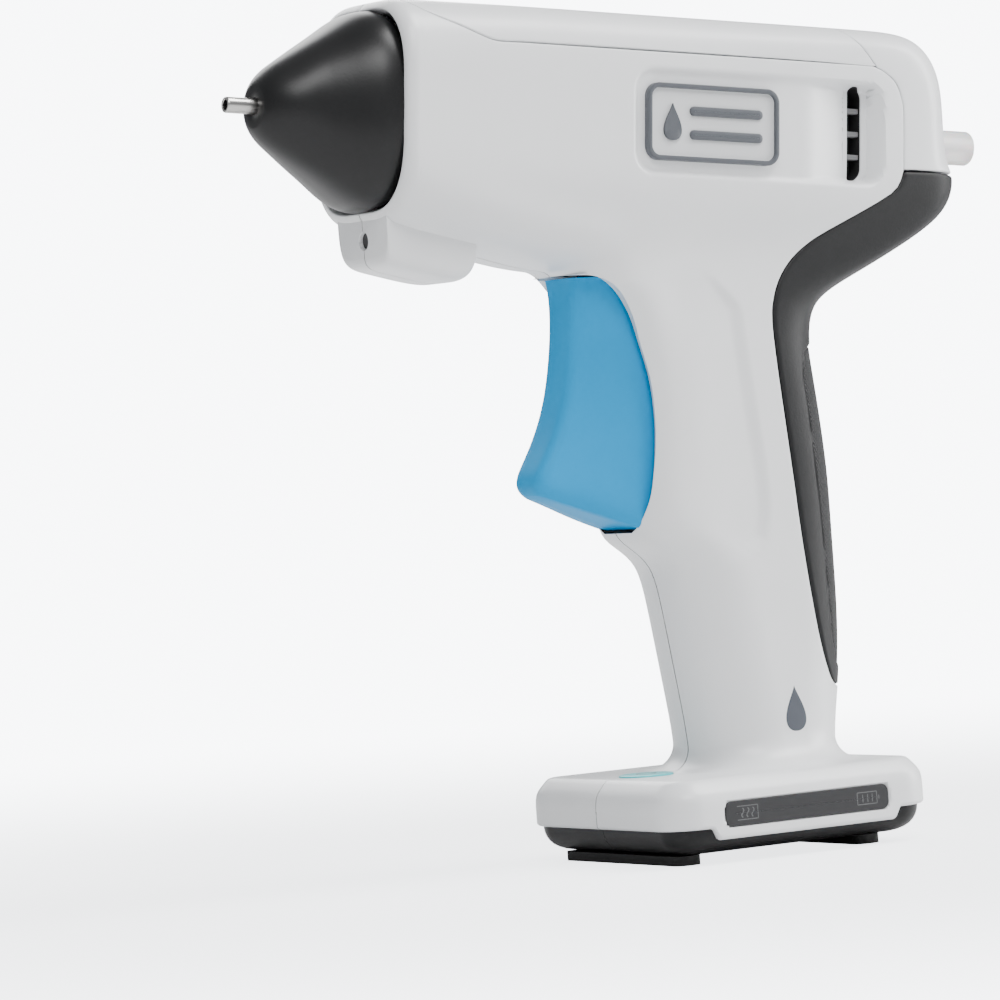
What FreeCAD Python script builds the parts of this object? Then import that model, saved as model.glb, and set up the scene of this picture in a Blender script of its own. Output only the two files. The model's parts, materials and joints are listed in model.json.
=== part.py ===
import FreeCAD, Part
import math
import os
import re

import Sketcher
from FreeCAD import Placement, Rotation, Vector

# Cordless glue gun. Millimetres; +Z up, nozzle towards -X, symmetric about Y = 0,
# origin on the table under the middle of the outline.
# "behind" is measured rearwards from the centre of the nozzle ring and "drop" downwards from it.
# The barrel has a frame of its own at the ring, tilted nose-up: s along it, w square to it.

SIZES = {
    "axis_height": 152.7,
    "barrel_tilt": 5.0,
    "barrel_length": 131.5,
    "barrel_top": 22.0,
    "barrel_half_width": 19.7,
    "rear_half_width": 17.8,
    "ring_half_height": 19.85,
    "ring_half_width": 17.81,
    "cone_length": 23.46,
    "cone_wall": 1.6,
    "nozzle_reach": 29.87,
    "nozzle_radius": 1.6,
    "nozzle_bore_radius": 1.0,
    "nozzle_body_radius": 2.8,
    "wall": 2.4,
    "grip_thickness": 1.8,
    "bend_behind": 38.0,
    "bend_drop": 37.0,
    "handle_back": 100.8,
    "handle_half_width": 15.0,
    "lip_drop": 86.6,
    "base_centre": 74.3,
    "base_length": 63.4,
    "base_width": 58.0,
    "base_corner": 8.0,
    "base_top": 17.0,
    "skirt_bottom": 7.7,
    "tray_bottom": 1.9,
    "base_bevel": 2.4,
    "tab_length": 42.4,
    "lug_half_width": 9.75,
    "tray_inset": 1.3,
    "tray_wall": 2.0,
    "foot_width": 6.0,
    "foot_length": 44.0,
    "stick_radius": 3.575,
    "stick_length": 100.0,
    "stick_reach": 14.05,
    "run_clearance": 0.07,
    "chamber_radius": 8.5,
    "chamber_rear": 36.0,
    "sleeve_length": 11.0,
    "collar_radius": 16.3,
    "collar_thickness": 4.0,
    "heater_width": 10.4,
    "heater_length": 14.0,
    "heater_thickness": 2.8,
    "guide_radius": 6.5,
    "pivot_along": 58.9,
    "pivot_below": 31.0,
    "pivot_radius": 2.0,
    "hub_radius": 4.5,
    "hub_half_width": 7.2,
    "arm_length": 20.5,
    "arm_half_width": 3.2,
    "drive_radius": 1.5,
    "trigger_half_width": 9.2,
    "trigger_front_half_width": 5.6,
    "trigger_gap": 0.4,
    "trigger_travel": 15.0,
    "carriage_radius": 7.0,
    "carriage_length": 17.0,
    "jaw_pin_radius": 0.9,
    "spring_radius": 3.4,
    "spring_wire_radius": 0.5,
    "spring_coils": 6.0,
    "spring_start": 59.9,
    "spring_drop": 50.0,
    "recess_start": 51.3,
    "badge_start": 54.4,
    "badge_length": 31.2,
    "badge_height": 15.4,
    "badge_thickness": 1.6,
    "recess_depth": 1.0,
    "vent_depth": 4.9,
    "panel_length": 39.1,
    "panel_height": 5.0,
    "panel_depth": 1.4,
    "button_radius": 5.7,
    "button_travel": 0.5,
    "lamp_radius": 1.65,
    "cell_radius": 9.2,
    "cell_length": 65.0,
    "cell_behind": 85.0,
    "contact_thickness": 0.8,
    "board_thickness": 1.6,
    "board_height": 7.2,
    "port_length": 7.2,
    "port_width": 9.0,
    "port_height": 3.2,
    "screw_radius": 1.5,
    "screw_head_radius": 2.6,
    "screw_head_seat": 6.0,
    "boss_radius": 4.0,
}

doc = FreeCAD.newDocument("glue_gun")
sheet = doc.addObject("Spreadsheet::Sheet", "sizes")
for row, (alias, value) in enumerate(SIZES.items(), start=1):
    sheet.set(f"A{row}", alias)
    sheet.set(f"B{row}", str(value))
    sheet.setAlias(f"B{row}", alias)
doc.recompute()


def size(alias):
    return float(sheet.get(alias))


def formula(text):
    """The text with each size's name turned into its cell of the sheet."""
    return re.sub(r"[a-z_]+", lambda found: "sizes." + found.group(0), text)


# --- frames -------------------------------------------------------------------------------

tilt = math.radians(size("barrel_tilt"))
stick_end = size("barrel_length") + size("stick_reach")
# the ring stands where the tip and the stick's end are equally far from the origin
nose_x = 0.5 * ((size("nozzle_reach") - stick_end) * math.cos(tilt)
                + (size("nozzle_radius") - size("stick_radius")) * math.sin(tilt))
nose = Vector(nose_x, 0, size("axis_height"))
rearward = Vector(math.cos(tilt), 0, -math.sin(tilt))
upward = Vector(math.sin(tilt), 0, math.cos(tilt))
barrel_frame = Placement(nose, Rotation(Vector(0, 1, 0), size("barrel_tilt")))
level_frame = Placement()


def in_barrel(s, w, y=0.0):
    return nose + rearward * s + upward * w + Vector(0, y, 0)


def below_ring(behind, drop, y=0.0):
    return Vector(nose.x + behind, y, nose.z - drop)


bend = below_ring(size("bend_behind"), size("bend_drop"))
pivot = in_barrel(size("pivot_along"), -size("pivot_below"))
rear_face = size("barrel_length")


# --- document helpers ---------------------------------------------------------------------

def placed(frame, x=0.0, y=0.0, z=0.0, turn=None):
    return frame * Placement(Vector(x, y, z), turn or Rotation())


ALONG_X = Rotation(Vector(0, 1, 0), 90)
ALONG_Y = Rotation(Vector(1, 0, 0), -90)


def primitive(kind, name, place, **sizes):
    """A Part primitive whose sizes are bound to the sheet."""
    item = doc.addObject(kind, name)
    for prop, text in sizes.items():
        item.setExpression(prop, formula(text))
    item.Placement = place
    return item


def box(name, place, length, width, height):
    return primitive("Part::Box", name, place, Length=length, Width=width, Height=height)


def rod(name, place, radius, height):
    return primitive("Part::Cylinder", name, place, Radius=radius, Height=height)


def cut(name, base, *tools):
    for number, tool in enumerate(tools, start=1):
        last = number == len(tools)
        item = doc.addObject("Part::Cut", name if last else f"{name}_step_{number}")
        item.Base, item.Tool = base, tool
        base = item
    return base


def fuse(name, *items):
    item = doc.addObject("Part::MultiFuse", name)
    item.Shapes = list(items)
    return item


def moulded(name, shape):
    """A sub-part whose shape is a free-form solid worked out from the sheet's sizes."""
    item = doc.addObject("Part::Feature", name)
    item.Shape = shape
    return item


def turned(name, place, profile):
    """A body turned about its own X axis: profile is a closed ring of (distance, radius) formulas."""
    body = doc.addObject("PartDesign::Body", name)
    plane = next(f for f in body.Origin.OriginFeatures if f.Role == "XZ_Plane")
    sketch = body.newObject("Sketcher::SketchObject", name + "_profile")
    sketch.AttachmentSupport = [(plane, "")]
    sketch.MapMode = "FlatFace"
    count = len(profile)
    ring = [Vector(5 * math.cos(2 * math.pi * k / count), 9 + 5 * math.sin(2 * math.pi * k / count), 0)
            for k in range(count)]
    for k in range(count):
        sketch.addGeometry(Part.LineSegment(ring[k], ring[(k + 1) % count]))
    for k in range(count):
        sketch.addConstraint(Sketcher.Constraint("Coincident", k, 2, (k + 1) % count, 1))
    for k, pair in enumerate(profile):
        for axis, text in zip(("X", "Y"), pair):
            number = sketch.addConstraint(Sketcher.Constraint("Distance" + axis, -1, 1, k, 1, 5.0))
            sketch.setExpression(f"Constraints[{number}]", formula(text))
    turn = body.newObject("PartDesign::Revolution", name + "_turn")
    turn.Profile = sketch
    turn.ReferenceAxis = (sketch, ["H_Axis"])
    turn.Angle = 360
    body.Placement = place
    return body


# --- free-form solids ---------------------------------------------------------------------

def knots(count, degree=3):
    inner = count - degree
    return list(range(inner + 1)), [degree + 1] + [1] * (inner - 1) + [degree + 1]


def half_solid(rows):
    """The solid on Y >= 0 under a cubic surface: each row runs from Y = 0 over the side to Y = 0."""
    places, repeats = knots(len(rows))
    across, across_repeats = knots(len(rows[0]))
    surface = Part.BSplineSurface()
    surface.buildFromPolesMultsKnots(rows, repeats, across_repeats, places, across, False, False, 3, 3)
    u0, u1, v0, v1 = surface.bounds()
    ends = []
    closers = []
    for edge_u, row in ((u0, rows[0]), (u1, rows[-1])):
        closer = Part.makeLine(row[0], row[-1])
        ends.append(Part.Face(Part.Wire(Part.__sortEdges__([surface.uIso(edge_u).toShape(), closer]))))
        closers.append(closer)
    rims = [surface.vIso(v0).toShape(), closers[1], surface.vIso(v1).toShape(), closers[0]]
    middle = Part.Face(Part.Wire(Part.__sortEdges__(rims)))
    shell = Part.makeShell([surface.toShape(), ends[0], ends[1], middle])
    shell.sewShape()
    solid = Part.Solid(shell)
    if solid.Volume < 0:
        solid.reverse()
    return solid


def mirrored(shape):
    return shape.mirror(Vector(0, 0, 0), Vector(0, 1, 0))


def both_sides(half):
    return half.fuse(mirrored(half)).removeSplitter()


def section(edge, inward, depth, half_width, radius_back, radius_front, inset):
    """Half a rounded section, from the outer line at edge to depth, with its width as a function of place."""
    top, bottom = inset, depth - inset
    back = max(radius_back - inset, 1.0)
    front = max(radius_front - inset, 1.0)
    wide = half_width(edge + inward * (top + back)) - inset
    narrow = half_width(edge + inward * (bottom - front)) - inset
    turn = [math.radians(angle) for angle in (22.5, 45, 67.5)]
    points = [(top, 0.0), (top, 0.6 * (wide - back)), (top, wide - back)]
    points += [(top + back - back * math.cos(a), wide - back + back * math.sin(a)) for a in turn]
    side_start, side_end = top + back, bottom - front
    for k in range(7):
        down = side_start + (side_end - side_start) * k / 6
        points.append((down, half_width(edge + inward * down) - inset))
    points += [(bottom - front + front * math.sin(a), narrow - front + front * math.cos(a)) for a in turn]
    points += [(bottom, narrow - front), (bottom, 0.6 * (narrow - front)), (bottom, 0.0)]
    return [edge + inward * down + Vector(0, across, 0) for down, across in points]


def smooth(value):
    value = min(max(value, 0.0), 1.0)
    return value * value * (3 - 2 * value)


def side_half_width(point):
    """Barrel width near the axis, easing to the handle's width lower down."""
    local = point - nose
    s, w = local.dot(rearward), local.dot(upward)
    barrel = size("barrel_half_width")
    barrel += (size("rear_half_width") - barrel) * smooth((s - 0.7 * rear_face) / (0.3 * rear_face))
    return barrel + (size("handle_half_width") - barrel) * smooth((-w - 10) / 17)


# (distance from the ring, height and depth of the outline, corner radius) at the front rim
FRONT_ROWS = ((0.0, -1.9, 21.0, 11.5), (0.7, -0.5, 22.2, 11.5), (2.6, 0.0, 22.9, 11.5),
              (12.0, 0.0, 24.6, 11.0), (24.0, 0.0, 26.8, 10.0), (36.0, 0.0, 29.3, 9.5))
# top of the barrel behind the bend, as shares of the barrel's length
TOP_SHARES = (0.38, 0.5, 0.62, 0.74, 0.84)
# the cap's corner and the elbow under it: (from the rear face along the barrel, above the axis)
REAR_CORNER = ((-14.0, 22.0), (-7.6, 21.2), (-2.8, 17.6), (-0.3, 12.0), (0.3, 4.0), (0.9, -4.0))
# the elbow's underside: (share of the way from the handle's back line to the rear face, drop)
ELBOW = ((1.062, 17.8), (1.049, 22.3), (0.958, 26.9), (0.704, 31.6), (0.371, 36.4))
# (drop, front line behind the ring, back line before handle_back) where the trigger closes
UPPER_HANDLE = ((39.8, 44.5, -4.6), (42.3, 46.2, -0.4), (45.0, 47.6, 1.6), (50.0, 49.6, 2.7),
                (57.0, 51.3, 1.9), (66.0, 52.0, 0.9), (76.0, 50.9, 0.1), (82.0, 50.4, 0.0))
# the same below the trigger, with the drop as a share from the lip to the base's top
LOWER_HANDLE = ((0.0, 51.8, 0.0), (0.04, 53.2, 0.0), (0.1, 57.6, 0.0), (0.17, 60.3, 0.0),
                (0.31, 61.6, 0.0), (0.5, 63.0, 0.3), (0.72, 64.6, 1.6), (0.88, 65.7, 3.3),
                (1.0, 65.7, 3.3), (1.05, 65.7, 3.3))


def body_rows(inset, front_overrun=0.0):
    """Sections of the barrel, square to it, then fanned about the bend, then level down the handle."""
    top = size("barrel_top")
    rows = []
    for s, rise, depth, radius in FRONT_ROWS:
        overrun = front_overrun if s == 0.0 else 0.0
        if front_overrun:
            rise, depth = 0.0, max(depth, 22.9)
        edge = in_barrel(s - overrun, top + rise)
        rows.append(section(edge, upward * -1, top + rise + depth, side_half_width, radius, 12.0, inset))
    fan = [in_barrel(share * rear_face, top) for share in TOP_SHARES]
    fan += [in_barrel(rear_face + s, w) for s, w in REAR_CORNER]
    overhang = rear_face - size("handle_back")
    fan += [below_ring(size("handle_back") + share * overhang, drop) for share, drop in ELBOW]
    for edge in fan:
        ray = bend - edge
        depth = ray.Length - 4.0
        rows.append(section(edge, ray.normalize(), depth, side_half_width, 9.5, 12.0, inset))
    drops = [(drop, front, back) for drop, front, back in UPPER_HANDLE]
    base_drop = size("axis_height") - size("base_top")
    drops += [(size("lip_drop") + share * (base_drop - size("lip_drop")), front, back)
              for share, front, back in LOWER_HANDLE]
    for drop, front, back in drops:
        edge = below_ring(size("handle_back") - back, drop)
        depth = size("handle_back") - back - front
        rows.append(section(edge, Vector(-1, 0, 0), depth, side_half_width, 12.5, 12.5, inset))
    return rows


def rounded_slab(length, width, corner, low, high, inset_low=0.0, inset_high=0.0):
    """A block with rounded upright corners, centred on the base, that may taper upwards."""
    wires = []
    for level, inset in ((low, inset_low), (high, inset_high)):
        long, wide, radius = length / 2 - inset, width / 2 - inset, corner - inset
        edges = []
        quarter = [(long - radius, wide - radius, 0), (radius - long, wide - radius, 90),
                   (radius - long, radius - wide, 180), (long - radius, radius - wide, 270)]
        points = []
        for cx, cy, start in quarter:
            for angle in (start, start + 45, start + 90):
                turn = math.radians(angle)
                points.append(Vector(nose.x + size("base_centre") + cx + radius * math.cos(turn),
                                     cy + radius * math.sin(turn), level))
        for k in range(0, 12, 3):
            edges.append(Part.Arc(*points[k:k + 3]).toShape())
            edges.append(Part.makeLine(points[k + 2], points[(k + 3) % 12]))
        wires.append(Part.Wire(edges))
    return Part.makeLoft(wires, True, True)


def prism(runs, low_y, high_y, frame=level_frame):
    """A prism along Y. Each run is a list of (x, z): two points are a line, more are a smooth curve."""
    edges = []
    points = []
    for run in runs:
        line = [Vector(x, low_y, z) for x, z in run]
        if len(line) == 2:
            edges.append(Part.makeLine(*line))
        else:
            curve = Part.BSplineCurve()
            curve.interpolate(line)
            edges.append(curve.toShape())
        points += line
    if (points[0] - points[-1]).Length > 1e-6:
        edges.append(Part.makeLine(points[-1], points[0]))
    face = Part.Face(Part.Wire(Part.__sortEdges__(edges)))
    return face.extrude(Vector(0, high_y - low_y, 0)).transformed(frame.toMatrix())


def polygon(*points):
    return [[points[k], points[(k + 1) % len(points)]] for k in range(len(points))]


def block_in(frame, low, high):
    """A plain block between two corners of a frame."""
    span = [b - a for a, b in zip(low, high)]
    return Part.makeBox(*span, Vector(*low)).transformed(frame.toMatrix())


def disc_in(frame, x, z, radius, low_y, high_y):
    """A cylinder along Y."""
    rim = Part.makeCylinder(radius, high_y - low_y, Vector(x, low_y, z), Vector(0, 1, 0))
    return rim.transformed(frame.toMatrix())


FAR = 60.0
wall = size("wall")
level_ring = Placement(nose, Rotation())

# --- seams --------------------------------------------------------------------------------

joint_low = rear_face - 22.0
joint_high = rear_face - 30.5
seam_height = 13.6
cap_seam = rear_face - 14.3
cap_floor = -7.3

cover_region = prism([[(joint_high, 24), (3.0, 24)], [(3.0, 24), (3.0, 21.5)],
                      [(3.0, 21.5), (5.3, 19.3), (12.5, 16.2), (20.0, seam_height)],
                      [(20.0, seam_height), (joint_low, seam_height)]], -FAR, FAR, barrel_frame)
cap_region = prism([[(joint_low, seam_height), (joint_high, 24)], [(joint_high, 24), (rear_face + 20, 24)],
                    [(rear_face + 20, 24), (rear_face + 20, cap_floor + 1)],
                    [(rear_face + 20, cap_floor + 1), (cap_seam, cap_floor)],
                    [(cap_seam, cap_floor), (cap_seam, 1.0), (cap_seam - 0.9, 8.6),
                     (cap_seam - 5.2, 12.7), (joint_low, seam_height)]], -FAR, FAR, barrel_frame)

cap_corner = in_barrel(cap_seam, cap_floor) - nose
cap_far = in_barrel(rear_face + 20, cap_floor + 1) - nose
back_line = size("handle_back")
grip_end = size("lip_drop") + 34.8
grip_region = prism([[(cap_corner.x, cap_corner.z), (cap_corner.x - 3.2, cap_corner.z - 4.4),
                      (back_line + 2.3, -26.3), (back_line - 7.5, -30.5), (back_line - 14.4, -37.1),
                      (back_line - 17.1, -46.0), (back_line - 14.9, -76.0), (back_line - 12.4, -103.0),
                      (back_line - 9.4, -116.0), (back_line - 5.4, -grip_end)],
                     [(back_line - 5.4, -grip_end), (back_line + 80, -grip_end)],
                     [(back_line + 80, -grip_end), (cap_far.x, cap_far.z)],
                     [(cap_far.x, cap_far.z), (cap_corner.x, cap_corner.z)]],
                    -FAR, FAR, level_ring)

# the trigger's mouth: its rear edge is the arc that the trigger's sides close against
lip = -size("lip_drop")
mouth_arc = [(41.0, -34.2), (47.9, -38.3), (53.6, -48.6), (56.1, -63.5), (54.6, -77.0), (52.6, lip)]
mouth_region = prism([mouth_arc, [(52.6, lip), (10.0, lip)], [(10.0, lip), (10.0, -34.2)],
                      [(10.0, -34.2), (41.0, -34.2)]], -FAR, FAR, level_ring)
pocket_half = size("trigger_half_width") + size("trigger_gap")
trigger_pocket = prism(polygon((30.0, -35.0), (44.0, -28.0), (71.8, -28.0), (71.8, lip + 0.2), (30.0,
                                                                                                lip + 0.2)),
                       -pocket_half, pocket_half, level_ring)

# --- shell solids, each the half on Y >= 0 ------------------------------------------------

base_low = size("skirt_bottom")
base_high = size("base_top")
base_sizes = (size("base_length"), size("base_width"), size("base_corner"))
bevel = size("base_bevel")
near_side = Part.makeBox(600, 300, 600, Vector(-300, 0, -100))


def base_solid(inset, low, high):
    length, width, corner = base_sizes
    straight = rounded_slab(length, width, corner, low, base_high - bevel - inset / 2, inset, inset)
    taper = rounded_slab(length, width, corner, base_high - bevel - inset / 2, high, inset, inset + bevel)
    return straight.fuse(taper).common(near_side)


def lug_solid(inset):
    """The block under the nose that holds the lamp."""
    half = size("lug_half_width") - inset
    rows = []
    for behind, bottom in ((-1.2, 29.6), (0.4, 30.6), (6.0, 32.2), (12.5, 33.9), (16.8, 33.9), (19.4,
                                                                                                31.0), (20.4, 22.0)):
        behind = max(behind, -1.2 + inset) if behind < 10 else behind - inset * (behind - 10) / 10
        radius = 3.5 - inset / 2
        low = bottom - inset
        points = [(16.0, 0.0), (16.0, half * 0.6), (16.0, half), (18.0, half), (low - radius * 1.6, half),
                  (low - radius * 0.6, half - 0.1 * radius), (low - 0.1 * radius, half - 0.6 * radius),
                  (low, half - radius * 1.6), (low, half * 0.4), (low, 0.0)]
        rows.append([below_ring(behind, drop, across) for drop, across in points])
    rows = [row for k, row in enumerate(rows) if k == 0 or row[0].x > rows[k - 1][0].x + 0.05]
    return half_solid(rows)


outer_body = half_solid(body_rows(0.0))
inner_body = half_solid(body_rows(wall, 1.0))
under_grip = half_solid(body_rows(size("grip_thickness")))
deep_body = half_solid(body_rows(size("grip_thickness") + 2.0, 1.0))

base_outer = base_solid(0.0, base_low, base_high)
base_inner = base_solid(wall, base_low - 1.0, base_high - wall)
tab_length = size("tab_length")
tab = prism(polygon((size("base_centre") - tab_length / 2 - 1.5, base_low + 0.5 - nose.z),
                    (size("base_centre") + tab_length / 2 + 1.5, base_low + 0.5 - nose.z),
                    (size("base_centre") + tab_length / 2, base_low - 2.5 - nose.z),
                    (size("base_centre") - tab_length / 2, base_low - 2.5 - nose.z)),
            size("base_width") / 2 - wall, size("base_width") / 2, level_ring)

hollow = inner_body.fuse([lug_solid(wall), base_inner])
outside = outer_body.fuse([lug_solid(0.0), base_outer])
skin = outside.cut(hollow)


def in_hollow(shape):
    return shape.common(outside).common(near_side)


# --- what the housing halves carry inside -------------------------------------------------

collar_places = (8.0, size("chamber_rear") - 5.0)
ribs = []
for start in collar_places:
    plate = block_in(barrel_frame, (start, 0, -FAR), (start + size("collar_thickness"), FAR, seam_height))
    hole = Part.makeCylinder(size("collar_radius"), size("collar_thickness"), Vector(start, 0, 0),
                             Vector(1, 0, 0))
    ribs.append(in_hollow(plate).cut(hole.transformed(barrel_frame.toMatrix())))

cell_low = size("base_top") + 7.7
cell_high = cell_low + size("cell_length")
contact = size("contact_thickness")
cell_x = nose.x + size("cell_behind")
cell_front = cell_x - size("cell_radius") - 1.2
cell_bore = Part.makeCylinder(size("cell_radius"), size("cell_length") + 2 * contact,
                              Vector(cell_x, 0, cell_low - contact))
shelf = 1.6
for low, high, front in ((cell_low - contact - shelf, cell_low - contact, cell_front - 12.0),
                         (cell_low + 8.0, cell_low + 11.0, cell_front - 12.0),
                         (cell_high - 9.0, cell_high - 6.0, cell_front),
                         (cell_high + contact, cell_high + contact + shelf, cell_front)):
    plate = Part.makeBox(cell_x + 40 - front, FAR, high - low, Vector(front, 0, low))
    ribs.append(in_hollow(plate).common(deep_body).cut(cell_bore))

spring_seat = size("pivot_along") + 13.2
seat_drop = size("spring_drop")
ribs.append(in_hollow(block_in(level_ring, (spring_seat, 0, -seat_drop - 6), (spring_seat + 2.4, FAR,
                                                                              -seat_drop + 6))))

# screw posts: (behind the ring, drop)
in_handle = size("lip_drop")
SCREW_PLACES = ((12.5, 27.9), (25.1, 22.8), (97.0, 23.5), (76.0, 44.0),
                (68.5, in_handle + 12.4), (71.2, in_handle + 35.4))
head_seat = size("screw_head_seat")
posts = [in_hollow(disc_in(level_ring, behind, -drop, size("boss_radius"), 0, FAR)) for behind,
         drop in SCREW_PLACES]

pivot_local = pivot - nose
pin_boss = in_hollow(disc_in(level_ring, pivot_local.x, pivot_local.z, 3.8, size("hub_half_width") + 0.3,
                             FAR))
pin_hole = disc_in(level_ring, pivot_local.x, pivot_local.z, size("pivot_radius"), 0, 12.0)

TRAY_SCREWS = (-14.0, 16.0)
tray_screw_y = 22.0
tray_posts = [Part.makeCylinder(2.6, base_high - wall + 0.5 - base_low,
                                Vector(nose.x + size("base_centre") + along, tray_screw_y, base_low))
              for along in TRAY_SCREWS]

# --- side recess with its vents -----------------------------------------------------------

recess_front, recess_rear = size("recess_start"), rear_face - 19.0
vent_front, vent_rear = rear_face - 26.0, rear_face - 21.1
recess_low, recess_high = -11.3, 10.6
face_y = size("barrel_half_width")
ramp_start = 0.68 * rear_face


def recess_solid(offset):
    """The recess on one side: flat at the badge, then a ramp down to the vents, then a short rise."""
    plan = ((recess_front - offset, face_y + 5), (recess_front - offset,
                                                  face_y - size("recess_depth") - offset),
            (ramp_start, face_y - size("recess_depth") - offset),
            (vent_front, face_y - size("vent_depth") - offset), (vent_rear,
                                                                 face_y - size("vent_depth") - offset),
            (recess_rear + offset, face_y - 1.8 - offset), (recess_rear + offset, face_y + 5))
    points = [Vector(s, y, recess_low - offset) for s, y in plan]
    face = Part.Face(Part.makePolygon(points + points[:1]))
    solid = face.extrude(Vector(0, 0, recess_high - recess_low + 2 * offset))
    corners = [edge for edge in solid.Edges if abs(edge.tangentAt(edge.FirstParameter).y) > 0.99
               and edge.Length > size("recess_depth")]
    return solid.makeFillet(3.5 + offset / 2, corners).transformed(barrel_frame.toMatrix())


grille_low, grille_high = recess_low + 1.2, recess_high - 1.2
floor_y = face_y - size("vent_depth")
grille_window = block_in(barrel_frame, (vent_front, floor_y - wall, grille_low), (vent_rear, floor_y,
                                                                                  grille_high))

# --- housing halves -----------------------------------------------------------------------

inlay_centre = (82.3, -(size("axis_height") - size("base_top") - 11.3))
inlay_depth = 1.0


def drop_prism(low_y, high_y, grow=0.0):
    """A drop-shaped outline: a round belly and a point at the top."""
    cx, cz = inlay_centre
    belly, tip = 3.4 + grow, 6.2 + grow
    runs = [[(cx - belly, cz - 1.8), (cx - 0.72 * belly, cz - 1.8 - 0.7 * belly), (cx, cz - 1.8 - belly),
             (cx + 0.72 * belly, cz - 1.8 - 0.7 * belly), (cx + belly, cz - 1.8)],
            [(cx + belly, cz - 1.8), (cx + 0.45 * belly, cz + 2.2), (cx, cz + tip)],
            [(cx, cz + tip), (cx - 0.45 * belly, cz + 2.2), (cx - belly, cz - 1.8)]]
    return prism(runs, low_y, high_y, level_ring)


handle_side = size("handle_half_width") - 0.05
panel_low = base_low - 0.4
panel_half = size("panel_length") / 2
panel_y = size("base_width") / 2
base_x = nose.x + size("base_centre")
panel_block = Part.makeBox(2 * panel_half, size("panel_depth"), size("panel_height"),
                           Vector(base_x - panel_half, panel_y - size("panel_depth"), panel_low))
button_x = nose.x + size("base_centre") - size("base_length") / 2 + 12.5
button_hole = Part.makeCylinder(size("button_radius") + 0.1, 10, Vector(button_x, 0, base_high - 5))
lamp_drop = 25.2
lamp_depth = 7.0
lamp_hole = Part.makeCylinder(size("lamp_radius"), 3.0 + lamp_depth, below_ring(-3.0, lamp_drop), Vector(1,
                                                                                                         0, 0))
port_length, port_width, port_height = size("port_length"), size("port_width"), size("port_height")
port_rear = base_x + size("base_length") / 2 - 0.4
port_low = size("board_height") + size("board_thickness")
port_hole = Part.makeBox(8, port_width + 0.2, port_height + 0.2,
                         Vector(port_rear - 4, -port_width / 2 - 0.1, port_low - 0.1))

spine = cover_region.fuse([cap_region, grip_region])
grip_bed = under_grip.cut(deep_body).common(grip_region).cut(hollow.cut(inner_body))
half = skin.fuse(tab).fuse(recess_solid(wall).common(outside)).cut(recess_solid(0.0))
half = half.cut([mouth_region, trigger_pocket, spine])
grip_layer = outer_body.cut(under_grip).common(grip_region)
half = half.fuse([grip_bed] + [rib.cut([spine.cut(grip_region), grip_layer]) for rib in ribs])
half = half.fuse(posts + [pin_boss] + tray_posts)
half = half.cut([grille_window, pin_hole, button_hole, lamp_hole, port_hole,
                 drop_prism(handle_side - inlay_depth, FAR)]).common(near_side)
screw_shanks = [disc_in(level_ring, behind, -drop, size("screw_radius"), 0, head_seat + 0.5)
                for behind, drop in SCREW_PLACES]
tray_shanks = [Part.makeCylinder(1.1, 6.0, Vector(base_x + along, tray_screw_y, base_low))
               for along in TRAY_SCREWS]
half = half.cut(screw_shanks + tray_shanks)
head_holes = [disc_in(level_ring, behind, -drop, size("screw_head_radius") + 0.15, head_seat, FAR)
              for behind, drop in SCREW_PLACES]


def largest(shape):
    return max(shape.Solids, key=lambda solid: solid.Volume)


left = largest(mirrored(half))
moulded("housing_left", left.cut(mirrored(panel_block)))
moulded("housing_right", largest(half.cut(head_holes)))

thin_skin = outer_body.cut(inner_body)
cover_half = thin_skin.common(cover_region)
moulded("top_cover", both_sides(cover_half))
guide_bore = Part.makeCylinder(size("guide_radius"), 20, Vector(rear_face - 12, 0, 0), Vector(1, 0, 0))
cap_half = thin_skin.common(cap_region).cut(guide_bore.transformed(barrel_frame.toMatrix()))
moulded("rear_cap", both_sides(cap_half))
moulded("rubber_grip", both_sides(outer_body.cut(under_grip).common(grip_region)))

# --- nose ---------------------------------------------------------------------------------

# (distance before the ring, share of the ring's size)
CONE_ROWS = ((0.0, 1.0), (2.4, 0.985), (5.4, 0.905), (9.0, 0.775), (14.5, 0.6), (19.0, 0.455),
             (21.6, 0.365), (23.2, 0.265), (23.46, 0.21))


def cone_half(inset, length, back=0.0):
    rows = []
    ratio = size("ring_half_width") / size("ring_half_height")
    for ahead, share in CONE_ROWS:
        tall = size("ring_half_height") * share - inset
        round_share = min(1.0, max(0.0, (ahead - 12) / 8))
        wide = tall * (ratio + (1 - ratio) * round_share)
        s = back - ahead * length / size("cone_length")
        row = []
        for k in range(13):
            turn = math.pi * k / 12
            bulge = 2 / (2.37 + (2 - 2.37) * round_share)
            row.append(in_barrel(s, math.copysign(abs(math.cos(turn)) ** bulge, math.cos(turn)) * tall,
                                 math.sin(turn) ** bulge * wide if 0 < k < 12 else 0.0))
        rows.append(row)
    return half_solid(rows)


def ring_tube(inset, thickness, start, length):
    """A straight band that follows the ring's outline."""
    halves = []
    for grow in (inset, inset + thickness):
        rows = []
        for s in (start, start + length / 3, start + 2 * length / 3, start + length):
            row = []
            for k in range(13):
                turn = math.pi * k / 12
                row.append(in_barrel(s, math.copysign(abs(math.cos(turn)) ** 0.84, math.cos(turn))
                                     * (size("ring_half_height") - grow),
                                     math.sin(turn) ** 0.84 * (size("ring_half_width") - grow) if 0 < k < 12 else 0.0))
            rows.append(row)
        halves.append(half_solid(rows))
    return halves[0].cut(halves[1])


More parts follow.
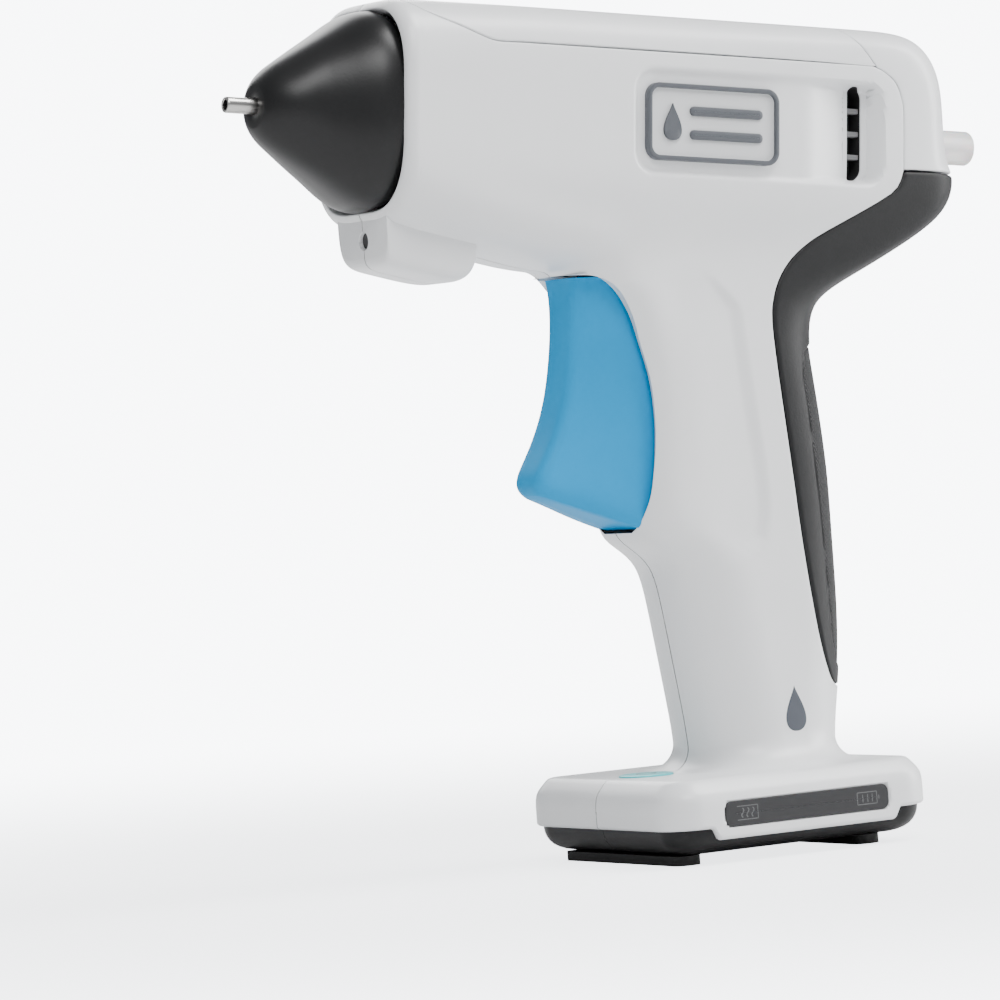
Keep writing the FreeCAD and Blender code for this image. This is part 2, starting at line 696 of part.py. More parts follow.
cone_skin = cone_half(0.0, size("cone_length")).cut(cone_half(size("cone_wall"), size("cone_length") - 1.3,
                                                              0.0))
tip_hole = Part.makeCylinder(size("nozzle_radius") + 0.15, 8, Vector(-size("cone_length") - 2, 0, 0),
                             Vector(1, 0, 0))
nose_half = cone_skin.fuse(ring_tube(0.9, 1.4, 0.0, 6.0)).cut(tip_hole.transformed(barrel_frame.toMatrix()))
moulded("nozzle_cone", both_sides(nose_half))

tip_start = -size("nozzle_reach")
turned("nozzle_tip", placed(barrel_frame, tip_start), [
    ("0", "nozzle_bore_radius"), ("0", "nozzle_radius - 0.25"), ("0.25", "nozzle_radius"),
    ("nozzle_reach - cone_length + 1.4", "nozzle_radius"),
    ("nozzle_reach - cone_length + 1.4", "nozzle_body_radius"),
    ("nozzle_reach - cone_length + 9.4", "nozzle_body_radius"),
    ("nozzle_reach - cone_length + 9.4", "nozzle_bore_radius")])

chamber_front = 3.4 - size("cone_length")
turned("melt_chamber", placed(barrel_frame, chamber_front), [
    ("0", "nozzle_body_radius"), ("0", "chamber_radius * 0.52"), ("6", "chamber_radius * 0.84"),
    ("12", "chamber_radius"), ("cone_length - 3.4 + chamber_rear", "chamber_radius"),
    ("cone_length - 3.4 + chamber_rear", "stick_radius + 0.18"), ("18", "stick_radius + 0.18"),
    ("11", "nozzle_bore_radius + 0.3"), ("6", "nozzle_bore_radius + 0.3"), ("6", "nozzle_body_radius")])

for name, start in zip(("front_collar", "rear_collar"), collar_places):
    disc = rod(name + "_disc", placed(barrel_frame, start, turn=ALONG_X), "collar_radius", "collar_thickness")
    bore = rod(name + "_bore", placed(barrel_frame, start, turn=ALONG_X), "chamber_radius",
               "collar_thickness")
    cut(name, disc, bore)

heater_start = 14.5
heater_top = -9.8
carrier = box("carrier_block", placed(barrel_frame, heater_start, -7.0,
                                      heater_top - size("heater_thickness") - 1.4),
              "heater_length + 2", "14", "heater_thickness + 5.8")
chamber_space = rod("carrier_seat", placed(barrel_frame, heater_start - 2, turn=ALONG_X),
                    "chamber_radius", "heater_length + 6")
heater_place = placed(barrel_frame, heater_start + 1, -size("heater_width") / 2,
                      heater_top - size("heater_thickness"))
heater_space = box("carrier_pocket", heater_place, "heater_length", "heater_width", "heater_thickness")
cut("heater_carrier", carrier, chamber_space, heater_space)
box("heater_plate", heater_place, "heater_length", "heater_width", "heater_thickness")
rod("thermal_fuse", placed(barrel_frame, 16.0, 0, size("chamber_radius") + 1.6, ALONG_X), "1.6", "9")

sleeve_end = size("chamber_rear") + size("sleeve_length")
turned("inlet_sleeve", placed(barrel_frame, size("chamber_rear")), [
    ("0", "stick_radius + run_clearance"), ("0", "chamber_radius - 0.5"), ("3", "chamber_radius - 0.5"),
    ("4.5", "stick_radius + 3"), ("sleeve_length", "stick_radius + 2.4"),
    ("sleeve_length", "stick_radius + run_clearance")])

turned("stick_guide", placed(barrel_frame, rear_face - 9.0), [
    ("0", "stick_radius + 0.4"), ("0", "guide_radius"), ("9", "guide_radius"),
    ("9", "stick_radius + 1.6"), ("7.6", "stick_radius + 0.4")])

turned("glue_stick", placed(barrel_frame, stick_end - size("stick_length")), [
    ("0", "0"), ("0", "stick_radius - 0.5"), ("0.5", "stick_radius"), ("stick_length - 0.6", "stick_radius"),
    ("stick_length", "stick_radius - 0.6"), ("stick_length", "0")])

rod("lamp_lens", Placement(below_ring(-0.4, lamp_drop), ALONG_X), "lamp_radius", "6.4")

# --- feed mechanism -----------------------------------------------------------------------

arm_lean = math.radians(size("trigger_travel") / 2)
drive_s = size("pivot_along") + size("arm_length") * math.sin(arm_lean)
drive_w = size("arm_length") * math.cos(arm_lean) - size("pivot_below")
feed_travel = 2 * size("arm_length") * math.sin(arm_lean)

carriage_start = drive_s - 6.6
ear_inside = size("arm_half_width") + 0.4
ear_half_long = 4.0
frame_plate, frame_inside = 2.0, 10.2
wing_start = carriage_start + 2.0

tube = rod("carriage_tube", placed(barrel_frame, carriage_start, turn=ALONG_X), "carriage_radius",
           "carriage_length")
saddle = box("carriage_saddle", placed(barrel_frame, carriage_start + 3.0, -6.0, 3.0), "12", "12",
             "carriage_radius - 1.4")
wings = box("carriage_wings", placed(barrel_frame, wing_start, -frame_inside - 1.6, -1.5),
            "carriage_length - 4", "23.6", "3")
ears = box("carriage_ears", placed(barrel_frame, drive_s - ear_half_long, -ear_inside - 2.8, drive_w - 2.9),
           "8", "2 * arm_half_width + 6.4", "-2 + pivot_below - arm_length + 2.9")
body = fuse("carriage_blank", tube, saddle, wings, ears)
stick_space = rod("carriage_bore", placed(barrel_frame, carriage_start - 1, turn=ALONG_X),
                  "stick_radius + 0.35", "carriage_length + 2")
arm_space = box("carriage_gap", placed(barrel_frame, drive_s - 5, -ear_inside, drive_w - 4),
                "10", "2 * arm_half_width + 0.8", "4 + arm_half_width + 0.2")
slot_space = box("carriage_slot", placed(barrel_frame, drive_s - size("drive_radius") - 0.15, -10,
                                         drive_w - 4),
                 "2 * drive_radius + 0.3", "20", "4 + drive_radius + 0.5")
jaw_space = box("carriage_window", placed(barrel_frame, carriage_start + 4.0, -3.3, 3.0), "10", "6.6",
                "carriage_radius + 2")
jaw_axis_s, jaw_axis_w = carriage_start + 11.6, 6.3
pin_space = rod("carriage_pin_hole", placed(barrel_frame, jaw_axis_s, -7, jaw_axis_w, ALONG_Y),
                "jaw_pin_radius", "14")
cut("feed_carriage", body, stick_space, arm_space, slot_space, jaw_space, pin_space)
rod("jaw_pin", placed(barrel_frame, jaw_axis_s, -6, jaw_axis_w, ALONG_Y), "jaw_pin_radius", "12")
jaw_block = box("jaw_block", placed(barrel_frame, jaw_axis_s - 7.0, -3.0, size("stick_radius") + 0.45),
                "8.6", "6", "4.4")
jaw_heel = box("jaw_heel", placed(barrel_frame, jaw_axis_s - 5.6, -4.0, 2.0), "9", "8",
               "stick_radius - 2 + 1.1")
jaw_bore = rod("jaw_bore", placed(barrel_frame, jaw_axis_s, -4, jaw_axis_w, ALONG_Y),
               "jaw_pin_radius + 0.06", "8")
cut("clamp_jaw", jaw_block, jaw_heel, jaw_bore)

frame_start = sleeve_end + 0.6
frame_end = carriage_start + size("carriage_length") + 2.4


def feed_frame():
    """Two slotted side plates joined by a plate behind the carriage."""
    shapes = []
    for side in (-1, 1):
        low, high = sorted((side * frame_inside, side * (frame_inside + frame_plate)))
        plate = block_in(barrel_frame, (frame_start, low, -7), (frame_end, high, 9))
        slot = block_in(barrel_frame, (wing_start - feed_travel - 0.4, low - 1, -1.7),
                        (wing_start + size("carriage_length") - 4 + 0.3, high + 1, 1.7))
        shapes.append(plate.cut(slot))
    outer = frame_inside + frame_plate
    shapes.append(block_in(barrel_frame, (frame_end - 2, -outer, -7), (frame_end, outer, 9)))
    joined = shapes[0].fuse(shapes[1:])
    bore = Part.makeCylinder(size("stick_radius") + 0.8, 40, Vector(frame_end - 10, 0, 0), Vector(1, 0, 0))
    return joined.cut(bore.transformed(barrel_frame.toMatrix())).removeSplitter()


moulded("feed_frame", feed_frame())

# --- trigger ------------------------------------------------------------------------------

# pairs of (behind, drop): the rear edge inside the mouth, then the finger face in front of it
TRIGGER_ROWS = (((51.5, 35.2), (42.6, 34.9)), ((53.6, 38.4), (42.9, 37.4)), ((57.0, 46.0), (42.8, 43.0)),
                ((59.0, 55.0), (41.5, 51.4)), ((59.6, 63.5), (39.7, 59.2)), ((59.1, 71.5), (36.8, 66.0)),
                ((58.0, 77.5), (33.7, 71.0)), ((56.9, 81.6), (31.7, 74.2)), ((56.0, 83.4), (31.8, 76.2)),
                ((55.6, 84.1), (32.5, 77.2)))


def trigger_blade():
    rows = []
    last = len(TRIGGER_ROWS) - 1
    for number, (rear, front) in enumerate(TRIGGER_ROWS):
        edge, finger = below_ring(*rear), below_ring(*front)
        inward = finger - edge
        depth = inward.Length
        inward.normalize()
        trim = (0.0, 0.5, 1.6)[max(0, number - last + 2)]
        wide = size("trigger_half_width") - trim
        narrow = size("trigger_front_half_width") - trim

        def width(point, edge=edge, inward=inward, depth=depth, wide=wide, narrow=narrow):
            share = (point - edge).dot(inward) / depth
            return wide + (narrow - wide) * smooth((share - 0.18) / 0.82)

        rows.append(section(edge, inward, depth, width, 1.5, 2.6, 0.0))
    return both_sides(half_solid(rows))


drive = in_barrel(drive_s, drive_w)
drive_local = drive - nose
hub_half = size("hub_half_width")
hub = disc_in(level_ring, pivot_local.x, pivot_local.z, size("hub_radius"), -hub_half, hub_half)
arm_foot = disc_in(level_ring, pivot_local.x, pivot_local.z, size("hub_radius") - 0.5,
                   -size("arm_half_width"), size("arm_half_width"))
arm_head = disc_in(level_ring, drive_local.x, drive_local.z, size("drive_radius") + 1.5,
                   -size("arm_half_width"), size("arm_half_width"))
reach = (drive - pivot).normalize()
square = Vector(reach.z, 0, -reach.x)
corners = [pivot_local + square * 4.0, drive_local + square * 3.0, drive_local - square * 3.0,
           pivot_local - square * 4.0]
arm_web = prism(polygon(*[(corner.x, corner.z) for corner in corners]),
                -size("arm_half_width"), size("arm_half_width"), level_ring)
blade_web = prism(polygon((44.5, -35.5), (pivot_local.x - 1, pivot_local.z + 3.6), (pivot_local.x + 4.0,
                                                                                    pivot_local.z - 1),
                          (57.5, -50.0), (45.0, -50.0)), -4.6, 4.6, level_ring)
side_reliefs = [disc_in(level_ring, pivot_local.x, pivot_local.z, 4.4, low, high)
                for low, high in ((hub_half, FAR), (-FAR, -hub_half))]
pin_bore = disc_in(level_ring, pivot_local.x, pivot_local.z, size("pivot_radius") + 0.05, -FAR, FAR)
drive_bore = disc_in(level_ring, drive_local.x, drive_local.z, size("drive_radius"), -FAR, FAR)
moulded("trigger", trigger_blade().cut(side_reliefs).fuse([hub, arm_foot, arm_head, arm_web, blade_web])
        .cut([pin_bore, drive_bore]).removeSplitter())

rod("trigger_pin", Placement(pivot - Vector(0, 12, 0), ALONG_Y), "pivot_radius", "24")
rod("drive_pin", Placement(drive - Vector(0, ear_inside + 2.7, 0), ALONG_Y), "drive_radius",
    "2 * arm_half_width + 6.2")

spring_start = size("spring_start")
spring_length = spring_seat - spring_start
coil = Part.makeHelix((spring_length - 2 * size("spring_wire_radius")) / size("spring_coils"),
                      spring_length - 2 * size("spring_wire_radius"), size("spring_radius"))
wire_section = Part.Wire(Part.makeCircle(size("spring_wire_radius"), Vector(size("spring_radius"), 0, 0),
                                         Vector(0, 1, 0)))
spring = Part.Wire(coil.Edges).makePipeShell([wire_section], True, True)
spring_item = moulded("return_spring", spring)
spring_item.Placement = Placement(below_ring(spring_start + size("spring_wire_radius"), seat_drop), ALONG_X)

# --- side pieces --------------------------------------------------------------------------

badge_start = size("badge_start")
badge_low = -8.0
badge_y = face_y - size("recess_depth")
for side, name in ((-1, "badge_left"), (1, "badge_right")):
    plate_y = badge_y if side > 0 else -badge_y - size("badge_thickness")
    plate = box(name + "_blank", placed(barrel_frame, badge_start, plate_y, badge_low),
                "badge_length", "badge_thickness", "badge_height")
    doc.recompute()
    corners = [number for number, edge in enumerate(plate.Shape.Edges, start=1)
               if abs(edge.tangentAt(edge.FirstParameter).y) > 0.99]
    rounded = doc.addObject("Part::Fillet", name)
    rounded.Base = plate
    rounded.Edges = [(number, 2.8, 2.8) for number in corners]

slot_pitch = (grille_high - grille_low) / 4
for side, name in ((-1, "vent_grille_left"), (1, "vent_grille_right")):
    grille = grille_window
    slots = [block_in(barrel_frame, (vent_front + 0.7, 0, grille_low + slot_pitch * k + 0.65),
                      (vent_rear - 0.7, FAR, grille_low + slot_pitch * (k + 1) - 0.65)) for k in range(4)]
    grille = grille.cut(slots)
    moulded(name, grille if side > 0 else mirrored(grille))

for side, name in ((-1, "drop_inlay_left"), (1, "drop_inlay_right")):
    inlay = drop_prism(handle_side - inlay_depth, handle_side - 0.25)
    moulded(name, inlay if side > 0 else mirrored(inlay))

# --- base ---------------------------------------------------------------------------------

tray_low = size("tray_bottom")
length, width, corner = base_sizes
tray_inset = size("tray_inset")
edge_round = 1.8
tray_skin = rounded_slab(length, width, corner, tray_low + edge_round, base_low, tray_inset, tray_inset)
tray_skin = tray_skin.fuse(rounded_slab(length, width, corner, tray_low, tray_low + edge_round,
                                        tray_inset + edge_round, tray_inset))
tray_hollow = rounded_slab(length, width, corner, tray_low + size("tray_wall"), base_low + 1,
                           tray_inset + size("tray_wall"), tray_inset + size("tray_wall"))
tray_half = tray_skin.cut(tray_hollow).common(near_side)
board_posts = [Part.makeCylinder(2.5, size("board_height") - tray_low - size("tray_wall"),
                                 Vector(base_x + along, 15.0,
                                        tray_low + size("tray_wall"))) for along in (-25.0, 21.0)]
screw_posts = [Part.makeCylinder(2.6, base_low - tray_low - 0.5, Vector(base_x + along, tray_screw_y,
                                                                        tray_low + 0.5))
               for along in TRAY_SCREWS]
tray_half = tray_half.fuse(board_posts + screw_posts).cut(tab)
for along in TRAY_SCREWS:
    spot = Vector(base_x + along, tray_screw_y, 0)
    tray_half = tray_half.cut([Part.makeCylinder(2.2, 3.0, spot + Vector(0, 0, tray_low - 0.5)),
                               Part.makeCylinder(1.1, 10.0, spot + Vector(0, 0, tray_low))])
moulded("base_tray_right", tray_half)
moulded("base_tray_left", mirrored(tray_half))

foot_places = (nose.x + size("base_centre") - 23.8, nose.x + size("base_centre") + 19.2)
for name, centre in zip(("front_foot", "rear_foot"), foot_places):
    blank = box(name + "_blank", placed(level_frame, centre - size("foot_width") / 2,
                                        -size("foot_length") / 2, 0),
                "foot_width", "foot_length", "tray_bottom")
    doc.recompute()
    upright = [number for number, edge in enumerate(blank.Shape.Edges, start=1)
               if abs(edge.tangentAt(edge.FirstParameter).z) > 0.99]
    rounded = doc.addObject("Part::Fillet", name)
    rounded.Base = blank
    rounded.Edges = [(number, 2.4, 2.4) for number in upright]

board_low = size("board_height")
board_top = board_low + size("board_thickness")
box("control_board", placed(level_frame, base_x - 28.3, -19.0, board_low), "55", "38", "board_thickness")
port_shell = box("port_shell", placed(level_frame, port_rear - port_length, -port_width / 2, board_top),
                 "port_length", "port_width", "port_height")
port_socket = box("port_socket", placed(level_frame, port_rear - port_length + 1.0, 0.3 - port_width / 2,
                                        board_top + 0.3),
                  "port_length", "port_width - 0.6", "port_height - 0.6")
port_tongue = box("port_tongue", placed(level_frame, port_rear - port_length + 0.5, -3.3,
                                        board_top + 0.5 * port_height - 0.35),
                  "port_length - 2", "port_width - 2.4", "0.7")
fuse("charge_port", cut("port_hollow", port_shell, port_socket), port_tongue)
box("button_switch", placed(level_frame, button_x - 3, -3, board_top), "6", "6", "3.1")
cap_piece = rod("button_cap", placed(level_frame, button_x, 0, base_high - 3.0), "button_radius", "3.45")
stem_low = board_top + 3.1 + size("button_travel") + 0.15
stem = rod("button_stem", placed(level_frame, button_x, 0, stem_low), "1.6",
           "base_top - 2.9 - board_height - board_thickness - 3.25 - button_travel")
fuse("power_button", cap_piece, stem)
box("indicator_lens", placed(level_frame, base_x - panel_half, -panel_y, panel_low),
    "panel_length", "panel_depth", "panel_height")
box("display_board", placed(level_frame, base_x - panel_half, -panel_y + wall + 0.2, base_low),
    "panel_length", "1.2", "5.6")

rod("battery_cell", placed(level_frame, cell_x, 0, cell_low), "cell_radius", "cell_length")
box("lower_contact", placed(level_frame, cell_x - 5, -5, cell_low - contact), "10", "10", "contact_thickness")
box("upper_contact", placed(level_frame, cell_x - 5, -5, cell_high), "10", "10", "contact_thickness")

# --- screws -------------------------------------------------------------------------------

screws = []
for behind, drop in SCREW_PLACES:
    head = disc_in(level_ring, behind, -drop, size("screw_head_radius"), head_seat, head_seat + 2)
    shank = disc_in(level_ring, behind, -drop, size("screw_radius"), -head_seat, head_seat)
    slot = block_in(level_ring, (behind - 1.8, head_seat + 1.1, -drop - 0.3), (behind + 1.8, head_seat + 3,
                                                                               -drop + 0.3))
    cross = block_in(level_ring, (behind - 0.3, head_seat + 1.1, -drop - 1.8), (behind + 0.3,
                                                                                head_seat + 3, -drop + 1.8))
    screws.append(head.fuse(shank).cut([slot, cross]).removeSplitter())
moulded("housing_screws", Part.makeCompound(screws))

screws = []
for along in TRAY_SCREWS:
    for side in (-1, 1):
        spot = Vector(base_x + along, side * tray_screw_y, 0)
        head = Part.makeCylinder(2.1, 1.5, spot + Vector(0, 0, tray_low + 1.0))
        shank = Part.makeCylinder(1.1, 10.0, spot + Vector(0, 0, tray_low + 1.8))
        screws.append(head.fuse(shank).removeSplitter())
moulded("tray_screws", Part.makeCompound(screws))

# --- checks and files ---------------------------------------------------------------------

NODES = [
    "housing_left", "housing_right", "top_cover", "rear_cap", "rubber_grip", "nozzle_cone", "nozzle_tip",
    "melt_chamber", "front_collar", "rear_collar", "heater_carrier", "heater_plate", "thermal_fuse",
    "inlet_sleeve", "stick_guide", "glue_stick", "lamp_lens", "feed_frame", "feed_carriage", "jaw_pin",
    "clamp_jaw", "trigger", "trigger_pin", "drive_pin", "return_spring", "badge_left", "badge_right",
    "vent_grille_left", "vent_grille_right", "drop_inlay_left", "drop_inlay_right", "base_tray_left",
    "base_tray_right", "front_foot", "rear_foot", "control_board", "charge_port", "button_switch",
    "power_button", "indicator_lens", "display_board", "battery_cell", "lower_contact", "upper_contact",
    "housing_screws", "tray_screws",
]

doc.recompute()
for item in doc.Objects:
    if {"Invalid", "Error"} & set(item.State):
        raise RuntimeError(f"{item.Name} failed: {item.State}")
os.makedirs("parts", exist_ok=True)
for name in NODES:
    item = doc.getObject(name)
    item.Label = name
    if item.Shape.isNull() or not item.Shape.isValid():
        raise RuntimeError(f"{name} has no valid shape")
for name in NODES:
    doc.getObject(name).Shape.exportStep(os.path.join("parts", name + ".step"))
print(f"{len(NODES)} sub-parts, ring at x = {nose.x:.2f}")
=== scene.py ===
import json
import math
import bmesh
import bpy
import numpy as np
from mathutils import Matrix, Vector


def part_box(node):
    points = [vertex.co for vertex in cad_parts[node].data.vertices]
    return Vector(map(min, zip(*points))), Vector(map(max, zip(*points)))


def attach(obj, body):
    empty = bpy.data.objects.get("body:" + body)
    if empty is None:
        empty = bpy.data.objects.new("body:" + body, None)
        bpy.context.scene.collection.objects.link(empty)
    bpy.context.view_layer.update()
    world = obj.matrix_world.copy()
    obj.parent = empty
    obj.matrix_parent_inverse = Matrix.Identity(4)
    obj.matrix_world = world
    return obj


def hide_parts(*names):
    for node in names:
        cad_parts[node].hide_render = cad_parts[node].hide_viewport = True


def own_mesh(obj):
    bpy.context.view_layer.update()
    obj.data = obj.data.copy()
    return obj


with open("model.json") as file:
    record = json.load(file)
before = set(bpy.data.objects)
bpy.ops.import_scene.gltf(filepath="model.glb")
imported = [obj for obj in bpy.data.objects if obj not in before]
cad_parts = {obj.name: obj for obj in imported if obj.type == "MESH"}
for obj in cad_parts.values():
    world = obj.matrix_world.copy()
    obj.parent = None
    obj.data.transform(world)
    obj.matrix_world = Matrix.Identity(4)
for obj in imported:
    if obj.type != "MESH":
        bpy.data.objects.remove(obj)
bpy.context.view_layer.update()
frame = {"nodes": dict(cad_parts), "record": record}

mm = 0.001

# The barrel's own frame comes from the stick's slide: s runs back along it, w square to it.
inlet = next(m for m in frame["record"]["mounts"] if m["name"] == "glue_stick_inlet")
barrelLength = 131.5
rearward = np.array(inlet["axis"])
upward = np.array([-rearward[2], 0.0, rearward[0]])
ring = np.array(inlet["pos_m"]) / mm - rearward * barrelLength
sideways = np.array([0.0, 1.0, 0.0])
print("frame loaded, ring at", np.round(ring, 2))


def smooth(x):
    x = np.clip(x, 0.0, 1.0)
    return x * x * (3 - 2 * x)


def inBarrel(s, w, y=0.0):
    s, w, y = np.broadcast_arrays(*[np.asarray(a, float) for a in (s, w, y)])
    return ring + s[..., None] * rearward + w[..., None] * upward + y[..., None] * sideways


def belowRing(behind, drop, y=0.0):
    behind, drop, y = np.broadcast_arrays(*[np.asarray(a, float) for a in (behind, drop, y)])
    return ring + np.stack([behind, y, -drop], -1)


def barrelCoordinates(points):
    local = points - ring
    return local @ rearward, local @ upward


# Mesh helpers

def unit(vectors):
    return vectors / np.maximum(np.linalg.norm(vectors, axis=-1, keepdims=True), 1e-9)


# Cross product of the two grid directions, by central differences.
def gridNormals(grid):
    return unit(np.cross(np.gradient(grid, axis=0), np.gradient(grid, axis=1)))


def quads(rows, columns, wrap=False):
    across = columns if wrap else columns - 1
    i, j = np.meshgrid(np.arange(rows - 1), np.arange(across), indexing="ij")
    a = (i * columns + j).ravel()
    b = (i * columns + (j + 1) % columns).ravel()
    return np.stack([a, b, b + columns, a + columns], 1)


# parts: list of (grid in mm, wrap, material numbers or one number, outward hint or None).
def buildPiece(name, parts, body, materials, replaced=(), smoothAngle=35):
    verts, faces, tags = [], [], []
    offset = 0
    for grid, wrap, tag, hint in parts:
        rows, columns = grid.shape[:2]
        flat = grid.reshape(-1, 3)
        face = quads(rows, columns, wrap)
        normal = np.cross(flat[face[:, 2]] - flat[face[:, 0]], flat[face[:, 3]] - flat[face[:, 1]])
        centre = flat[face].mean(1)
        if hint is None:
            turned = (normal * (centre - flat.mean(0))).sum() < 0
        elif callable(hint):
            turned = (normal * hint(centre)).sum() < 0
        else:
            turned = (normal @ np.asarray(hint, float)).sum() < 0
        if turned:
            face = face[:, ::-1]
        verts.append(flat)
        faces.append(face + offset)
        tags.append(np.broadcast_to(np.asarray(tag), (len(face),)))
        offset += len(flat)
    verts, faces, tags = np.concatenate(verts) * mm, np.concatenate(faces), np.concatenate(tags)
    mesh = bpy.data.meshes.new(name)
    mesh.from_pydata(verts.tolist(), [], faces.tolist())
    for material in materials:
        mesh.materials.append(material)
    mesh.polygons.foreach_set("material_index", tags.astype(np.int32))
    mesh.validate()
    piece = bpy.data.objects.new(name, mesh)
    bpy.context.scene.collection.objects.link(piece)
    weldAndShade(piece, smoothAngle)
    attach(piece, body)
    if replaced:
        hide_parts(*replaced)
    return piece


# Merges coincident points, drops faces that have no area, and shades smooth up to an angle.
def weldAndShade(piece, smoothAngle):
    work = bmesh.new()
    work.from_mesh(piece.data)
    bmesh.ops.remove_doubles(work, verts=work.verts, dist=0.004 * mm)
    bmesh.ops.dissolve_degenerate(work, dist=0.002 * mm, edges=work.edges)
    for face in work.faces:
        face.smooth = True
    limit = math.radians(smoothAngle)
    for edge in work.edges:
        if len(edge.link_faces) == 2 and edge.calc_face_angle(0.0) > limit:
            edge.smooth = False
    work.to_mesh(piece.data)
    work.free()


def nodeCentre(node):
    low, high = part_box(node)
    return (np.array(low) + np.array(high)) / 2 / mm


def mirrorY(grid):
    return grid * np.array([1.0, -1.0, 1.0])


# Cubic surface over a control net, as the moulded parts are drawn

# The four cubic weights and the first control index for each parameter, knots one apart and clamped.
def basis(param, count):
    knot = np.concatenate([np.zeros(3), np.arange(count - 2), np.full(3, count - 3)]).astype(float)
    param = np.clip(param, 0, count - 3 - 1e-9)
    span = np.floor(param).astype(int) + 3
    weights = [np.ones_like(param)]
    left, right = [None], [None]
    for j in range(1, 4):
        left.append(param - knot[span + 1 - j])
        right.append(knot[span + j] - param)
        saved = np.zeros_like(param)
        fresh = []
        for r in range(j):
            share = weights[r] / (right[r + 1] + left[j - r])
            fresh.append(saved + right[r + 1] * share)
            saved = left[j - r] * share
        weights = fresh + [saved]
    return span - 3, np.stack(weights, -1)


# Point of the net's surface at u, v, each from 0 to 1.
def surfaceAt(net, u, v):
    rows, columns = net.shape[:2]
    u, v = np.broadcast_arrays(np.asarray(u, float), np.asarray(v, float))
    iu, wu = basis(u * (rows - 3), rows)
    iv, wv = basis(v * (columns - 3), columns)
    point = np.zeros(u.shape + (3,))
    for a in range(4):
        for b in range(4):
            point += (wu[..., a] * wv[..., b])[..., None] * net[iu + a, iv + b]
    return point


# Control points of rounded sections on Y >= 0: flat, quarter turn, side, quarter turn, flat.
def halfSections(edge, inward, depth, backRadius, frontRadius, widthAt):
    turn = np.radians([22.5, 45.0, 67.5])
    wide = widthAt(edge + inward * backRadius[:, None])
    narrow = widthAt(edge + inward * (depth - frontRadius)[:, None])
    zero = np.zeros_like(depth)
    down = [zero, zero, zero]
    across = [zero, 0.6 * (wide - backRadius), wide - backRadius]
    for a in turn:
        down.append(backRadius * (1 - math.cos(a)))
        across.append(wide - backRadius * (1 - math.sin(a)))
    for k in range(7):
        level = backRadius + (depth - frontRadius - backRadius) * k / 6
        down.append(level)
        across.append(widthAt(edge + inward * level[:, None]))
    for a in turn:
        down.append(depth - frontRadius * (1 - math.sin(a)))
        across.append(narrow - frontRadius * (1 - math.cos(a)))
    down += [depth, depth, depth]
    across += [narrow - frontRadius, 0.6 * (narrow - frontRadius), zero]
    down, across = np.stack(down, 1), np.stack(across, 1)
    return edge[:, None] + inward[:, None] * down[..., None] + sideways * across[..., None]


body = {
    "top": 22.0, "halfWidth": 19.7, "rearHalfWidth": 17.8, "handleHalfWidth": 15.0,
    "bendBehind": 38.0, "bendDrop": 37.0, "handleBack": 100.8, "lipDrop": 86.6, "baseTop": 17.0,
    "frontRim": ((0.0, -1.9, 20.2, 11.5), (0.7, -0.5, 21.8, 11.5), (2.6, 0.0, 22.9, 11.5),
                 (12.0, 0.0, 24.6, 11.0), (24.0, 0.0, 26.8, 10.0), (36.0, 0.0, 29.3, 9.5)),
    "topShares": (0.38, 0.5, 0.62, 0.74, 0.84),
    "rearCorner": ((-14.0, 22.0), (-7.6, 21.2), (-2.8, 17.6), (-0.3, 12.0), (0.3, 4.0), (0.9, -4.0)),
    "elbow": ((32.6, 17.8), (32.2, 22.3), (29.4, 26.9), (21.6, 31.6), (11.4, 36.4)),
    "upperHandle": ((39.8, 44.5, -4.6), (42.3, 46.2, -0.4), (45.0, 47.6, 1.6), (50.0, 49.6, 2.7),
                    (57.0, 51.3, 1.9), (66.0, 52.0, 0.9), (76.0, 50.9, 0.1), (82.0, 50.4, 0.0)),
    "lowerHandle": ((0.0, 51.8, 0.0), (0.04, 53.2, 0.0), (0.1, 57.6, 0.0), (0.17, 60.3, 0.0),
                    (0.31, 61.6, 0.0), (0.5, 63.0, 0.3), (0.72, 64.6, 1.6), (0.88, 65.7, 3.3),
                    (1.0, 65.7, 3.3)),
}


# Barrel width near the axis, tapering to the rear, easing to the handle's width lower down.
def bodyHalfWidth(points):
    s, w = barrelCoordinates(points)
    barrel = body["halfWidth"] + (body["rearHalfWidth"] - body["halfWidth"]) * smooth((s / barrelLength - 0.7) / 0.3)
    return barrel + (body["handleHalfWidth"] - barrel) * smooth((-w - 10) / 17)


def bodyNet():
    edges, inwards, depths, backs = [], [], [], []
    for s, rise, depth, radius in body["frontRim"]:
        edges.append(inBarrel(s, body["top"] + rise))
        inwards.append(-upward)
        depths.append(body["top"] + rise + depth)
        backs.append(radius)
    bend = belowRing(body["bendBehind"], body["bendDrop"])
    fan = [inBarrel(share * barrelLength, body["top"]) for share in body["topShares"]]
    fan += [inBarrel(barrelLength + s, w) for s, w in body["rearCorner"]]
    fan += [belowRing(body["handleBack"] + behind, drop) for behind, drop in body["elbow"]]
    for edge in fan:
        edges.append(edge)
        inwards.append(unit(bend - edge))
        depths.append(np.linalg.norm(bend - edge) - 4.0)
        backs.append(9.5)
    baseDrop = ring[2] - body["baseTop"]
    drops = list(body["upperHandle"])
    drops += [(body["lipDrop"] + share * (baseDrop - body["lipDrop"]), front, back)
              for share, front, back in body["lowerHandle"]]
    for drop, front, back in drops:
        edges.append(belowRing(body["handleBack"] - back, drop))
        inwards.append(np.array([-1.0, 0.0, 0.0]))
        depths.append(body["handleBack"] - back - front)
        backs.append(12.5)
    fronts = np.where(np.arange(len(edges)) < len(body["frontRim"]) + len(fan), 12.0, 12.5)
    return halfSections(np.array(edges), np.array(inwards), np.array(depths), np.array(backs), fronts, bodyHalfWidth)


